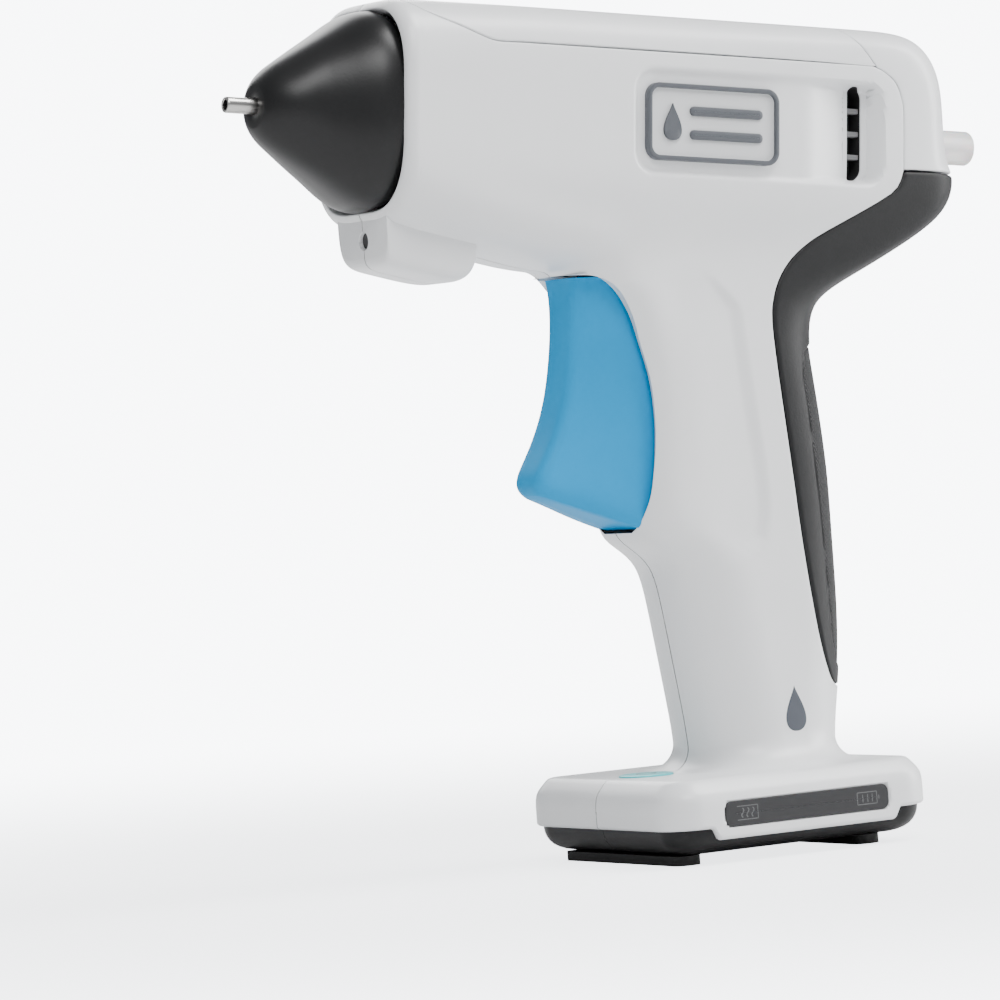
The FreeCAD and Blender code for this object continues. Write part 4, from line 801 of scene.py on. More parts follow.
# Half of a rounded rectangle on Y >= 0, from the front's middle to the rear's, shrunk by inset.
def baseOutline(inset, count=220):
    length, width, corner = baseShape["length"], baseShape["width"], baseShape["corner"]
    halfLong, halfWide = length / 2, width / 2
    t = np.linspace(0, 1, count)
    front = halfWide - corner
    arc = corner * math.pi / 2
    side = length - 2 * corner
    travel = t * (2 * front + 2 * arc + side)
    inset = np.asarray(inset, float)[..., None]
    radius = np.maximum(corner - inset, 0.05)
    longHalf, wideHalf = halfLong - inset, np.maximum(halfWide - inset, 0.0)
    radius = np.minimum(radius, np.maximum(wideHalf, 0.0) + 1e-4)
    a1 = np.clip((travel - front) / arc, 0, 1) * math.pi / 2
    a2 = np.clip((travel - front - arc - side) / arc, 0, 1) * math.pi / 2
    run1 = np.clip(travel / front, 0, 1)
    run2 = np.clip((travel - front - arc) / side, 0, 1)
    run3 = np.clip((travel - front - 2 * arc - side) / front, 0, 1)
    x = -longHalf + radius * (1 - np.cos(a1)) + run2 * (2 * longHalf - 2 * radius) + radius * np.sin(a2)
    y = run1 * (wideHalf - radius) + radius * np.sin(a1) - radius * (1 - np.cos(a2)) - run3 * (wideHalf - radius)
    return baseCentre + x, y


# The base's shell: flat top, bevel, upright skirt that dips under the panel, and a turned-in lip.
def base():
    top = body["baseTop"]
    profile = [(28.9, top), (24.0, top), (18.0, top), (12.0, top), (8.0, top), (5.0, top), (3.6, top - 0.05),
               (2.9, top - 0.25), (2.3, top - 0.75), (1.3, top - 1.85), (0.7, top - 2.6), (0.3, top - 3.4),
               (0.08, top - 4.4), (0.0, top - baseShape["skirtDrop"])]
    inset = np.array([p[0] for p in profile])
    x, y = baseOutline(inset)
    z = np.broadcast_to(np.array([p[1] for p in profile])[:, None], x.shape)
    upper = np.stack([x, y, z], -1)
    x0, y0 = baseOutline(np.array([0.0]))
    fromMiddle = np.abs(x0[0] - baseCentre)
    dip = smooth((baseShape["dipHalf"] - fromMiddle) / baseShape["dipRun"]) * (y0[0] > 28.5)
    low = baseShape["skirtLow"] - baseShape["dip"] * dip
    high = top - baseShape["skirtDrop"]
    steps = np.linspace(0, 1, 16)[1:]
    skirtZ = high + (low[None] - high) * steps[:, None]
    skirt = np.stack([np.broadcast_to(x0[0], skirtZ.shape), np.broadcast_to(y0[0], skirtZ.shape), skirtZ], -1)
    lip = []
    for turnIn, drop in ((0.12, 0.22), (0.45, 0.5), (0.9, 0.62), (1.6, 0.62), (2.4, 0.2)):
        xl, yl = baseOutline(np.array([turnIn]))
        lip.append(np.stack([xl[0], yl[0], low - drop], -1))
    grid = np.concatenate([upper, skirt, np.stack(lip)])
    grid[..., 1] = np.maximum(grid[..., 1], 0.08)
    return grid


halfU, halfGrid, halfS, halfW = housingHalf()
lugGrid = lugHalf()
shelf, ceiling = lipFloor()
baseGrid = base()
panelCentre = nodeCentre("indicator_lens")


pocket = {"halfLong": 19.75, "halfHigh": 2.7, "corner": 1.7, "depth": 1.1, "edge": 0.35}


# Sets the skirt in behind the indicator panel.
def panelPocket(grid):
    shifted = grid.copy()
    x, z, halfLong, halfHigh = panelCentre[0], panelCentre[2], pocket["halfLong"], pocket["halfHigh"]
    away = roundedBoxDistance(grid[..., 0], grid[..., 2], (x - halfLong, z - halfHigh), (x + halfLong, z + halfHigh),
                              pocket["corner"])
    shifted[..., 1] -= pocket["depth"] * smooth(-away / pocket["edge"]) * (grid[..., 1] > 28)
    return shifted


# Presses round screw wells into a side.
def screwWells(grid, places, radius, depth):
    shifted = grid.copy()
    for behind, drop in places:
        gap = np.hypot(grid[..., 0] - ring[0] - behind, grid[..., 2] - ring[2] + drop)
        shifted[..., 1] -= depth * smooth((radius - gap) / 0.45 + 0.5) * (grid[..., 1] > 6)
    return shifted


wells = {"radius": 2.75, "depth": 3.2}
screwPlaces = ((25.1, 22.8), (97.0, 23.5), (76.0, 44.0), (68.5, body["lipDrop"] + 12.4), (71.2, body["lipDrop"] + 35.4))
# Faces on the floor of the vent pocket take the near-black finish: painted shade seen through the slots
paintedVentShade = ventMask(halfS, halfW)
paintedShadeTags = (paintedVentShade[:-1, :-1] > 0.85).astype(int)


# The handle's back below the grip, from the middle to where the side grid starts.
def backPatch():
    below = halfU > gripEnd - 1e-9
    rows, edge = halfU[below], seamV[-1] * np.ones(below.sum())
    allowance = (seams["gap"] / 2 + seams["round"]) / np.maximum(spanV(rows, edge), 1.0)
    centre = housing["centreGap"] / np.maximum(spanV(rows, 0 * edge + 0.002), 1.0)
    across = np.linspace(0, 1, 40)
    patch = surfaceAt(net, rows[:, None], centre[:, None] + (edge + allowance - centre)[:, None] * across)
    return handleFlare(patch)


def halfParts(grid, lug, baseShell, flip):
    sign = mirrorY if flip else (lambda g: g)
    rim = rimmed(rimmed(grid, "left", seams["round"], 1.2), "top", 0.3, 1.5)
    closed = np.where(halfU > gripEnd)[0] + rimRows  # below the grip the rim folds flat
    rim[closed, :rimRows] = rim[closed, rimRows:rimRows + 1]
    tags = np.zeros((rim.shape[0] - 1, rim.shape[1] - 1), int)
    # the vent pocket floor takes the near-black finish as painted shade
    tags[rimRows:, rimRows:] = paintedShadeTags
    return [(sign(rim), False, tags.ravel(), (0, -1 if flip else 1, 0)),
            (sign(backPatch()), False, 0, (1, -0.3 if flip else 0.3, 0)),
            (sign(lug), False, 0, lambda c: c - belowRing(8.0, 22.0)),
            (sign(shelf), False, 0, (0, 0, 1)), (sign(ceiling), False, 0, (0, 0, -1)),
            (sign(baseShell), False, 0, lambda c: c - np.array([baseCentre, 0, 6.0]))]


buildPiece("housingLeft", halfParts(halfGrid, lugGrid, panelPocket(baseGrid), True), "frame",
           [finishes["white"], finishes["ventShade"]], ("housing_left",))
rightGrid = screwWells(halfGrid, screwPlaces, wells["radius"], wells["depth"])
buildPiece("housingRight", halfParts(rightGrid, lugGrid, baseGrid, False), "frame",
           [finishes["white"], finishes["ventShade"]], ("housing_right",))
print("housing halves made")

# Top cover, rear cap and grip: one strip over the back of the body, parted by two cross lines

strip = {"columns": 121, "coverRows": 150, "capRows": 110, "gripRows": 300, "gripGap": 0.5, "gripRound": 0.7,
         "rim": 1.2, "jointTop": 24.0, "capFrom": 60.0}


# For each share across the strip, the first u past which signAt turns positive.
def crossing(signAt, low, high, shares, count=700):
    dense = np.linspace(low, high, count)
    edge, _ = stripEdge(dense)
    grid = surfaceAt(net, dense[:, None], edge[:, None] * shares[None])
    value = signAt(grid)
    first = np.argmax(value > 0, axis=0)
    first = np.clip(first, 1, count - 1)
    a = np.take_along_axis(value, (first - 1)[None], 0)[0]
    b = np.take_along_axis(value, first[None], 0)[0]
    f = np.clip(-a / (b - a + 1e-12), 0, 1)
    return dense[first - 1] + (dense[first] - dense[first - 1]) * f


def beyondJoint(points):
    s, w = barrelCoordinates(points)
    rise = (w - seams["height"]) / (strip["jointTop"] - seams["height"])
    line = seams["jointLow"] + (seams["jointHigh"] - seams["jointLow"]) * rise
    return s - line


def belowCap(points):
    s, w = barrelCoordinates(points)
    slope = (s - seams["capBehind"]) / (barrelLength + 20 - seams["capBehind"])
    return (seams["capFloor"] + slope - w) * (s > strip["capFrom"])


# The strip between two cross lines, on both sides of the middle, following the seam.
def stripGrid(startU, endU, rows, gap, rounding):
    shares = np.linspace(0, 1, strip["columns"] // 2 + 1)
    r = np.linspace(0, 1, rows)[:, None]
    u = startU[None] + (endU - startU)[None] * r
    edge, _ = stripEdge(np.clip(u, coverStart, gripEnd))
    allowance = (gap / 2 + rounding) / np.maximum(spanV(u, np.clip(edge, 0.002, 1)), 1.0)
    v = np.maximum(edge - allowance, 0.01) * shares[None]
    grid = surfaceAt(net, u, v)
    return np.concatenate([mirrorY(grid)[:, :0:-1], grid], 1)


shares = np.linspace(0, 1, strip["columns"] // 2 + 1)
jointU = crossing(beyondJoint, coverStart, seamU[np.searchsorted(seamU, 0.5)], shares)
floorU = crossing(belowCap, float(jointU.max()) + 0.01, gripEnd, shares)
atJoint = spanU(jointU, np.interp(jointU, seamU, seamV) * shares)
atFloor = spanU(floorU, np.interp(floorU, seamU, seamV) * shares)
seamInset = seams["gap"] / 2 + seams["round"]
print("cross lines at", np.round([jointU.min(), jointU.max(), floorU.min(), floorU.max()], 4))


def rimAll(grid, radius):
    for side in ("left", "right", "top", "bottom"):
        grid = rimmed(grid, side, radius, strip["rim"])
    return grid


coverU = np.full_like(shares, coverStart)
coverGrid = stripGrid(coverU + seamInset / spanU(coverU, shares * 0.2), jointU - seamInset / atJoint,
                      strip["coverRows"], seams["gap"], seams["round"])
capGrid = stripGrid(jointU + seamInset / atJoint, floorU - seamInset / atFloor, strip["capRows"], seams["gap"],
                    seams["round"])
field = {"drops": (50, 51.5, 53.2, 57.5, 64.1, 111.6, 116.1, 118),
         "front": (94.4, 93.6, 91.6, 90.8, 91.4, 93.9, 95.6, 96.9),
         "top": 51.3, "end": 117.5, "corner": 2.6, "sunk": 0.3, "groove": 0.35}


def outwardFromBody(centres):
    return centres - (ring + np.array([70.0, 0.0, -35.0]))


# Signed distance to the textured field on the grip: its front edge is a curve, its rear runs round the back.
def gripInset(points):
    behind, drop = points[..., 0] - ring[0], ring[2] - points[..., 2]
    front = np.interp(drop, field["drops"], field["front"])
    return roundedBoxDistance(behind - front, drop, (0.0, field["top"]), (60.0, field["end"]), field["corner"])


# Crossed fine ridges, running up and round the grip.
def knurled(material):
    nodes, links = material.node_tree.nodes, material.node_tree.links
    place = nodes.new("ShaderNodeTexCoord")
    split = nodes.new("ShaderNodeSeparateXYZ")
    links.new(place.outputs["Object"], split.inputs["Vector"])

    def maths(kind, a, b=None):
        node = nodes.new("ShaderNodeMath")
        node.operation = kind
        for slotNumber, value in enumerate((a, b)):
            if value is None:
                continue
            if isinstance(value, (int, float)):
                node.inputs[slotNumber].default_value = value
            else:
                links.new(value, node.inputs[slotNumber])
        return node.outputs[0]

    roundBack = maths("SUBTRACT", split.outputs["X"], maths("ABSOLUTE", split.outputs["Y"]))
    pitch = 2 * math.pi / (0.9 * mm)
    first = maths("SINE", maths("MULTIPLY", maths("ADD", split.outputs["Z"], roundBack), pitch))
    second = maths("SINE", maths("MULTIPLY", maths("SUBTRACT", split.outputs["Z"], roundBack), pitch))
    height = maths("MULTIPLY", maths("ADD", first, second), 0.25)
    relief = nodes.new("ShaderNodeBump")
    relief.inputs["Strength"].default_value = 0.9
    relief.inputs["Distance"].default_value = 0.00022
    links.new(height, relief.inputs["Height"])
    links.new(relief.outputs["Normal"], nodes["Principled BSDF"].inputs["Normal"])
    return material


gripStart = floorU + (strip["gripGap"] / 2 + strip["gripRound"]) / atFloor
gripStop = np.full_like(shares, gripEnd) - 0.9 / spanU(np.full_like(shares, gripEnd), shares * 0.1)
gripGrid = stripGrid(gripStart, gripStop, strip["gripRows"], strip["gripGap"], strip["gripRound"])
fieldDistance = gripInset(gripGrid)
inwards = -gridNormals(gripGrid) * outwardSign(gripGrid)
groove = np.exp(-((fieldDistance + 0.3) / 0.35) ** 2)  # a bell-shaped dip along the field's edge
gripGrid = gripGrid + inwards * (field["sunk"] * smooth(-fieldDistance / 0.5) + field["groove"] * groove)[..., None]
gripTags = np.zeros((gripGrid.shape[0] + 2 * rimRows - 1, gripGrid.shape[1] + 2 * rimRows - 1), int)
gripTags[rimRows:-rimRows, rimRows:-rimRows] = fieldDistance[:-1, :-1] < -0.6
for name, grid, node in (("topCover", coverGrid, "top_cover"), ("rearCap", capGrid, "rear_cap")):
    buildPiece(name, [(rimAll(grid, seams["round"]), False, 0, outwardFromBody)], "frame",
               [finishes["white"]], (node,))
finishes["knurl"] = knurled(moulded("gripKnurl", (0.012, 0.0123, 0.013), 0.46, 0.08, 0.05, 2400.0, 0.4,
                                    Specular_IOR_Level=0.35))
buildPiece("rubberGrip", [(rimAll(gripGrid, strip["gripRound"]), False, gripTags.ravel(), outwardFromBody)], "frame",
           [finishes["rubber"], finishes["knurl"]], ("rubber_grip",))
print("cover, cap and grip made")

# Round pieces on the barrel's axis

# Rings about the barrel's axis through (s, radius) pairs.
def lathe(profile, around=96):
    profile = np.array(profile, float)
    angle = np.linspace(0, 2 * math.pi, around, endpoint=False)
    s = np.broadcast_to(profile[:, :1], (len(profile), around))
    return inBarrel(s, profile[:, 1:] * np.cos(angle), profile[:, 1:] * np.sin(angle))


def fromAxis(points):
    local = points - ring
    return local - (local @ rearward)[:, None] * rearward


cone = {"rows": ((0.0, 1.0), (2.4, 0.985), (5.4, 0.905), (9.0, 0.775), (14.5, 0.6), (19.0, 0.455), (21.6, 0.365),
                 (23.2, 0.265), (23.46, 0.21)), "halfHeight": 19.85, "halfWidth": 17.81, "squareness": 2.37}


# Oval rings ahead of the housing that shrink and turn round towards the tip, then a bore for the nozzle.
def coneGrid():
    known = np.array(cone["rows"])
    control = np.zeros((len(known), 4, 3))
    control[..., 0], control[..., 1] = known[:, :1], known[:, 1:]
    curve = surfaceAt(control, np.linspace(0, 1, 120), np.zeros(120))
    ahead, share = curve[:, 0], curve[:, 1]
    blend = smooth((ahead - 12) / 8)
    ratio = cone["halfWidth"] / cone["halfHeight"] * (1 - blend) + blend
    power = cone["squareness"] * (1 - blend) + 2 * blend
    angle = np.linspace(0, 2 * math.pi, 160, endpoint=False)
    cosine, sine = np.cos(angle), np.sin(angle)
    reach = (np.abs(cosine)[None] ** power[:, None] + np.abs(sine)[None] ** power[:, None]) ** (-1 / power[:, None])
    w = cone["halfHeight"] * share[:, None] * cosine * reach
    y = cone["halfHeight"] * share[:, None] * ratio[:, None] * sine * reach
    outer = inBarrel(-ahead[:, None] + 0 * w, w, y)
    inward = inBarrel(0 * w[:1] + 1.6, w[:1] * 0.985, y[:1] * 0.985)
    end = -cone["rows"][-1][0]
    face = lathe([(end, 3.2), (end, 1.75), (end + 0.15, 1.62), (end + 1.5, 1.6)], 160)
    return np.concatenate([inward, outer, face])


buildPiece("nozzleCone", [(coneGrid(), True, 0, lambda c: fromAxis(c) - 0.6 * rearward)], "frame",
           [finishes["black"]], ("nozzle_cone",), 50)
nozzle = {"tip": -29.87, "bore": 1.0, "radius": 1.6}
tip = nozzle["tip"]
nozzleProfile = [(tip + 6, nozzle["bore"]), (tip + 0.15, nozzle["bore"]), (tip + 0.02, 1.1), (tip, 1.2), (tip, 1.42),
                 (tip + 0.1, 1.54), (tip + 0.3, nozzle["radius"]), (tip + 3, nozzle["radius"]),
                 (tip + 9, nozzle["radius"])]


def nozzleOut(centres):
    away = fromAxis(centres)
    inBore = (np.linalg.norm(away, axis=1) < 1.05)[:, None]
    return np.where(inBore, -away, away - 0.8 * rearward)


buildPiece("nozzleTip", [(lathe(nozzleProfile), True, [1] * 96 + [0] * 96 * 7, nozzleOut)], "frame",
           [finishes["steel"], finishes["blackened"]], ("nozzle_tip",))
stick = {"front": 45.55, "rear": 145.55, "radius": 3.575}
front, rear, radius = stick["front"], stick["rear"], stick["radius"]
stickProfile = [(front, 0.0), (front, 3.3), (front + 0.3, radius), (70, radius), (100, radius), (rear - 0.35, radius),
                (rear - 0.1, 3.45), (rear, 3.2), (rear, 0.0)]
buildPiece("glueStick", [(lathe(stickProfile), True, 0, lambda c: fromAxis(c) + 0.02 * (c - inBarrel(95.5, 0.0)))],
           "stick", [finishes["glue"]], ("glue_stick",))
guide = {"rear": barrelLength + 0.45, "bore": 3.95, "outer": 6.6}
rear = guide["rear"]
guideProfile = [(rear - 8, guide["bore"]), (rear - 2.5, guide["bore"]), (rear - 0.7, 4.5), (rear - 0.2, 5.0),
                (rear, 5.4),
                (rear, 6.1), (rear - 0.2, 6.45), (rear - 1.0, guide["outer"]), (rear - 4.0, guide["outer"])]


def guideOut(centres):
    away = fromAxis(centres)
    inBore = (np.linalg.norm(away, axis=1) < 5.2)[:, None]
    return np.where(inBore, 0.4 * rearward - 0.1 * away, away + 0.4 * rearward)


buildPiece("stickGuide", [(lathe(guideProfile), True, 0, guideOut)], "frame", [finishes["white"]],
           ("stick_guide",))
print("cone, nozzle, stick and guide made")

# Trigger blade

trigger = {
    "rows": (((51.5, 35.2), (42.6, 34.9)), ((53.6, 38.4), (42.9, 37.4)), ((57.0, 46.0), (42.8, 43.0)),
             ((59.0, 55.0), (41.5, 51.4)), ((59.6, 63.5), (39.7, 59.2)), ((59.1, 71.5), (36.8, 66.0)),
             ((58.0, 77.5), (33.7, 71.0)), ((56.6, 82.6), (31.5, 74.4)), ((54.6, 85.2), (31.7, 76.6)),
             ((53.6, 85.9), (32.7, 77.7))),
    "rearHalf": 9.2, "frontHalf": 5.6, "footTrims": (0.0, 0.5, 1.6), "rearRound": 1.5, "frontRound": 2.6,
}


# Sections from the housing side to the finger side, narrowing forwards, over one control net.
def triggerGrid():
    sections = []
    last = len(trigger["rows"]) - 1
    for number, (rear, finger) in enumerate(trigger["rows"]):
        edge, front = belowRing(*rear), belowRing(*finger)
        depth = np.linalg.norm(front - edge)
        inward = (front - edge) / depth
        trim = trigger["footTrims"][max(0, number - last + 2)]

        def width(points):
            share = (points - edge) @ inward / depth
            narrowing = (trigger["frontHalf"] - trigger["rearHalf"]) * smooth((share - 0.18) / 0.82)
            return trigger["rearHalf"] - trim + narrowing

        sections.append(halfSections(edge[None], inward[None], np.array([depth]), np.array([trigger["rearRound"]]),
                                     np.array([trigger["frontRound"]]), width)[0])
    u = np.linspace(0, 1, 130)
    half = surfaceAt(np.array(sections), u[:, None], np.linspace(0, 1, 90)[None])
    whole = np.concatenate([half, mirrorY(half)[:, -2:0:-1]], 1)
    ends, feet = ([loop.mean(0) + (loop - loop.mean(0)) * k for k in order]
                  for loop, order in ((whole[0], (0.0, 0.5)), (whole[-1], (0.5, 0.0))))
    return np.concatenate([np.array(ends), whole, np.array(feet)])


# Closed plate across the gun from a loop in its middle plane.
def prismGrid(loop, half):
    loop = np.array(loop, float)
    side = np.array([0.0, half, 0.0])
    middle = np.broadcast_to(loop.mean(0), loop.shape)
    return np.stack([middle - side, loop - side, loop + side, middle + side])


def discLoop(centre, radius, around=48):
    angle = np.linspace(0, 2 * math.pi, around, endpoint=False)
    return centre + radius * np.stack([np.cos(angle), 0 * angle, np.sin(angle)], 1)


lever = {"hubRadius": 4.5, "hubHalf": 7.2, "headRadius": 2.6, "armHalf": 3.2, "webHalf": 4.6, "hubWide": 4,
         "headWide": 3}
pivot, driven = (nodeCentre(n) * np.array([1.0, 0.0, 1.0]) for n in ("trigger_pin", "drive_pin"))
reach = unit(driven - pivot)
across = np.array([reach[2], 0.0, -reach[0]])
wide, slim = across * lever["hubWide"], across * lever["headWide"]
webLoop = [belowRing(44.5, 38.0), pivot + np.array([-1.0, 0, 3.6]), pivot + np.array([4.0, 0, -1.0]),
           belowRing(57.0, 50.0), belowRing(45.0, 50.0)]
leverParts = [prismGrid(discLoop(pivot, lever["hubRadius"]), lever["hubHalf"]),
              prismGrid(discLoop(driven, lever["headRadius"]), lever["armHalf"]),
              prismGrid([pivot + wide, driven + slim, driven - slim, pivot - wide], lever["armHalf"]),
              prismGrid(webLoop, lever["webHalf"])]


def bladeOut(centres):
    return centres - belowRing(48.0, np.clip(ring[2] - centres[:, 2], 40, 76))


buildPiece("triggerBlade", [(triggerGrid(), True, 0, bladeOut)] + [(grid, True, 0, None) for grid in leverParts],
           "trigger", [finishes["blue"]], ("trigger",), 50)

coil = {"wire": 0.5, "turns": 6, "perTurn": 32, "around": 12, "keep": 0.47}


# Round wire wound about a line along x between the ends of the spring's box.
def springGrid():
    low, high = (np.array(corner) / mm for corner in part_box("return_spring"))
    share = np.linspace(0, 1, coil["turns"] * coil["perTurn"] + 1)
    angle = 2 * math.pi * coil["turns"] * share
    radius = (high[2] - low[2]) / 2 - coil["wire"]
    middle = (low + high) / 2
    outward = np.stack([0 * angle, np.cos(angle), np.sin(angle)], 1)
    path = outward * radius + middle
    path[:, 0] = low[0] + coil["wire"] * 1.05 + (high[0] - low[0] - 2.1 * coil["wire"]) * share
    along = np.gradient(path, axis=0)
    along /= np.linalg.norm(along, axis=1, keepdims=True)
    third = np.cross(along, outward)
    turn = np.linspace(0, 2 * math.pi, coil["around"], endpoint=False)[None, :, None]
    rings = path[:, None] + coil["wire"] * (np.cos(turn) * outward[:, None] + np.sin(turn) * third[:, None])
    poles = [np.broadcast_to(p, rings[0].shape)[None] for p in (path[0], path[-1])]
    return np.concatenate([poles[0], rings, poles[1]]), path, high


springRings, springPath, springEnd = springGrid()


def springOut(centres):
    nearest = ((centres[:, None] - springPath[None]) ** 2).sum(2).argmin(1)
    return centres - springPath[nearest]


spring = buildPiece("returnSpring", [(springRings, True, 0, springOut)], "frame", [finishes["steel"]],
                    ("return_spring",), 50)
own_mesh(spring)
print("trigger and spring made")

# Plates with rounded corners: badges, indicator panel, vent ribs

def roundedLoop(halfA, halfB, radius, inset, corner=14):
    halfA, halfB = max(halfA - inset, 0.01), max(halfB - inset, 0.0)
    radius = min(max(radius - inset, 0.02), halfA, max(halfB, 1e-4))
    quarter = np.linspace(0, math.pi / 2, corner)
    loop = []
    for signA, signB, turn in ((1, 1, 0), (-1, 1, math.pi / 2), (-1, -1, math.pi), (1, -1, 1.5 * math.pi)):
        loop.append(np.stack([signA * (halfA - radius) + radius * np.cos(quarter + turn),
                              signB * (halfB - radius) + radius * np.sin(quarter + turn)], 1))
    return np.concatenate(loop)


# A plate from its (inset, height, material) profile, from the foot of the wall to the middle of the face.
def platePart(centre, alongA, alongB, outward, halfA, halfB, radius, profile):
    loops = [roundedLoop(halfA, halfB, radius, inset) for inset, _, _ in profile]
    grid = np.array([centre + loop[:, :1] * alongA + loop[:, 1:] * alongB + height * outward
                     for loop, (_, height, _) in zip(loops, profile)])
    tags = np.repeat([tag for _, _, tag in profile[1:]], grid.shape[1])
    return grid, True, tags, (lambda c: (c - centre) + 3.0 * outward)


badge = {"along": (54.4, 85.6), "height": (-8.0, 7.4), "corner": 2.8, "foot": 18.5, "face": 20.15, "frame": 0.95,
         "field": 19.35, "barAlong": 3.1, "barHeights": (2.35, -2.35), "barHalf": (8.6, 0.95), "dropAlong": 9.6,
         "dropSize": 4.2, "dropWide": 0.62, "dropHigh": 0.88, "raise": 0.5}


def badgeParts(side):
    s0, s1 = badge["along"]
    w0, w1 = badge["height"]
    centre = inBarrel((s0 + s1) / 2, (w0 + w1) / 2, 0.0)
    out = sideways * side
    f, g = badge["face"], badge["field"]
    profile = [(0.0, badge["foot"], 0), (0.0, f - 0.3, 0), (0.09, f - 0.08, 0), (0.3, f, 0),
               (badge["frame"] - 0.2, f, 0),
               (badge["frame"], f - 0.08, 0), (badge["frame"] + 0.06, g + 0.1, 0), (badge["frame"] + 0.14, g, 1),
               (3.2, g, 1), (5.5, g, 1), (7.69, g, 1)]
    parts = [platePart(centre, rearward, upward, out, (s1 - s0) / 2, (w1 - w0) / 2, badge["corner"], profile)]
    raised = g + badge["raise"]
    halfA, halfB = badge["barHalf"]
    barProfile = [(0.0, g - 0.2, 0), (0.0, g + 0.42, 0), (0.12, raised, 0), (halfB - 0.01, raised, 0)]
    for high in badge["barHeights"]:
        middle = centre + rearward * badge["barAlong"] + upward * high
        parts.append(platePart(middle, rearward, upward, out, halfA, halfB, 0.94, barProfile))
    outline = dropOutline(64)
    outline = outline[:, :1] * rearward * badge["dropWide"] + outline[:, 1:] * upward * badge["dropHigh"]
    rows = [centre - rearward * badge["dropAlong"] + outline * badge["dropSize"] * k + out * h
            for k, h in ((1.0, g - 0.2), (1.0, g + 0.42), (0.96, raised), (0.5, raised), (0.0, raised))]
    parts.append((np.array(rows), True, 0, lambda c: (c - centre + badge["dropAlong"] * rearward) + 3 * out))
    return parts


# Teardrop with its point up: cosine height, sine width pinched towards the point.
def dropOutline(count):
    t = np.linspace(0, 2 * math.pi, count, endpoint=False)
    return np.stack([np.sin(t) * np.abs(np.sin(t / 2)) ** 1.6 * 1.15, np.cos(t)], 1)


for side, label in ((-1, "Left"), (1, "Right")):
    buildPiece("badge" + label, badgeParts(side), "frame", [finishes["grey"], finishes["field"]],
               ("badge_" + label.lower(),))


# D-shaped outline: straight front edge, round rear corners, as (s, w).
def ventLoop(inset, corner=12):
    low, high = housing["ventLow"] + inset, housing["ventHigh"] - inset
    front, rear = housing["ventFront"] + inset, housing["ventRear"] - inset
    loop = []
    for a, b, radius, turn in ((rear, high, housing["ventCorner"], 0), (front, high, 0.3, math.pi / 2),
                               (front, low, 0.3, math.pi), (rear, low, housing["ventCorner"], 1.5 * math.pi)):
        radius = max(radius - inset, 0.03)
        angle = np.linspace(0, math.pi / 2, corner) + turn
        middleA = a - radius if a == rear else a + radius
        middleB = b - radius if b == high else b + radius
        loop.append(np.stack([middleA + radius * np.cos(angle), middleB + radius * np.sin(angle)], 1))
    dense = np.concatenate(loop + [loop[0][:1]])
    travel = np.concatenate([[0], np.cumsum(np.linalg.norm(np.diff(dense, axis=0), axis=1))])
    even = np.linspace(0, travel[-1], 160, endpoint=False)
    return np.stack([np.interp(even, travel, dense[:, 0]), np.interp(even, travel, dense[:, 1])], 1)


vent = {"profile": ((-1.3, -0.25, 0), (-1.15, 0.01, 0), (-0.8, 0.03, 0), (-0.4, 0.03, 0), (-0.08, 0.02, 0),
                    (0.0, -0.08, 0),
                    (0.03, -0.35, 0), (0.05, -0.9, 1), (0.05, -2.2, 1), (0.05, -4.2, 1), (0.8, -4.3, 1),
                    (1.6, -4.3, 1))}


# A white lip that lies on the recess and a well behind it, whose deeper rows take the near-black finish as painted
# shade behind the slots.
def ventWell(side):
    rows = []
    for inset, lift, _ in vent["profile"]:
        loop = ventLoop(inset)
        points = inBarrel(loop[:, 0], loop[:, 1])
        u, v = locate(points)
        y = surfaceAt(net, u, v)[:, 1] - recessDepth(loop[:, 0], loop[:, 1]) + lift
        rows.append(inBarrel(loop[:, 0], loop[:, 1], y * side))
    grid = np.array(rows)
    along = np.full(grid.shape[1], (housing["ventFront"] + housing["ventRear"]) / 2)
    middle = inBarrel(along, ventLoop(vent["profile"][-1][0])[:, 1] * 0.9, grid[-1, :, 1])
    tags = np.repeat([tag for _, _, tag in vent["profile"][1:]] + [1], grid.shape[1])
    return np.concatenate([grid, middle[None]]), True, tags, sideways * side


ribs = {"places": (4.75, 0.05, -4.65), "half": 0.55, "rise": 13.7}


def ribParts(side):
    parts = [ventWell(side)]
    along = (housing["ventFront"] + housing["ventRear"]) / 2
    half = (housing["ventRear"] - housing["ventFront"]) / 2 + 0.1
    y = ribs["rise"]
    profile = [(0.0, y - 2.2, 2), (0.0, y - 0.2, 2), (0.1, y - 0.04, 2), (0.25, y, 2), (ribs["half"] - 0.01, y, 2)]
    for place in ribs["places"]:
        parts.append(platePart(inBarrel(along, place, 0.0), rearward, upward, sideways * side, half, ribs["half"], 0.1,
                               profile))
    return parts


for side, label in ((-1, "Left"), (1, "Right")):
    buildPiece("ventGrille" + label, ribParts(side), "frame",
               [finishes["white"], finishes["ventShade"], finishes["rib"]], ("vent_grille_" + label.lower(),))

inlay = {"behind": 82.3, "drop": 124.4, "half": 4.6, "width": 0.66, "lift": 0.06}


# A flush drop-shaped inlay that follows the handle's side.
def inlayParts(side):
    outline = dropOutline(72)
    rows = []
    for k, lift in ((1.03, -0.8), (1.03, -0.1), (1.0, 0.04), *[(share, inlay["lift"]) for share in (0.93, 0.7, 0.45,
                                                                                                    0.2, 0.0)]):
        x = inlay["behind"] + outline[:, 0] * inlay["half"] * inlay["width"] * k
        drop = inlay["drop"] - outline[:, 1] * inlay["half"] * k
        u, v = locate(belowRing(x, drop))
        y = surfaceAt(net, u, v)[:, 1] + lift
        rows.append(belowRing(x, drop, y * side))
    middle = belowRing(inlay["behind"], inlay["drop"])
    return [(np.array(rows), True, 0, lambda c: (c - middle) * np.array([0.2, 1, 0.2]))]


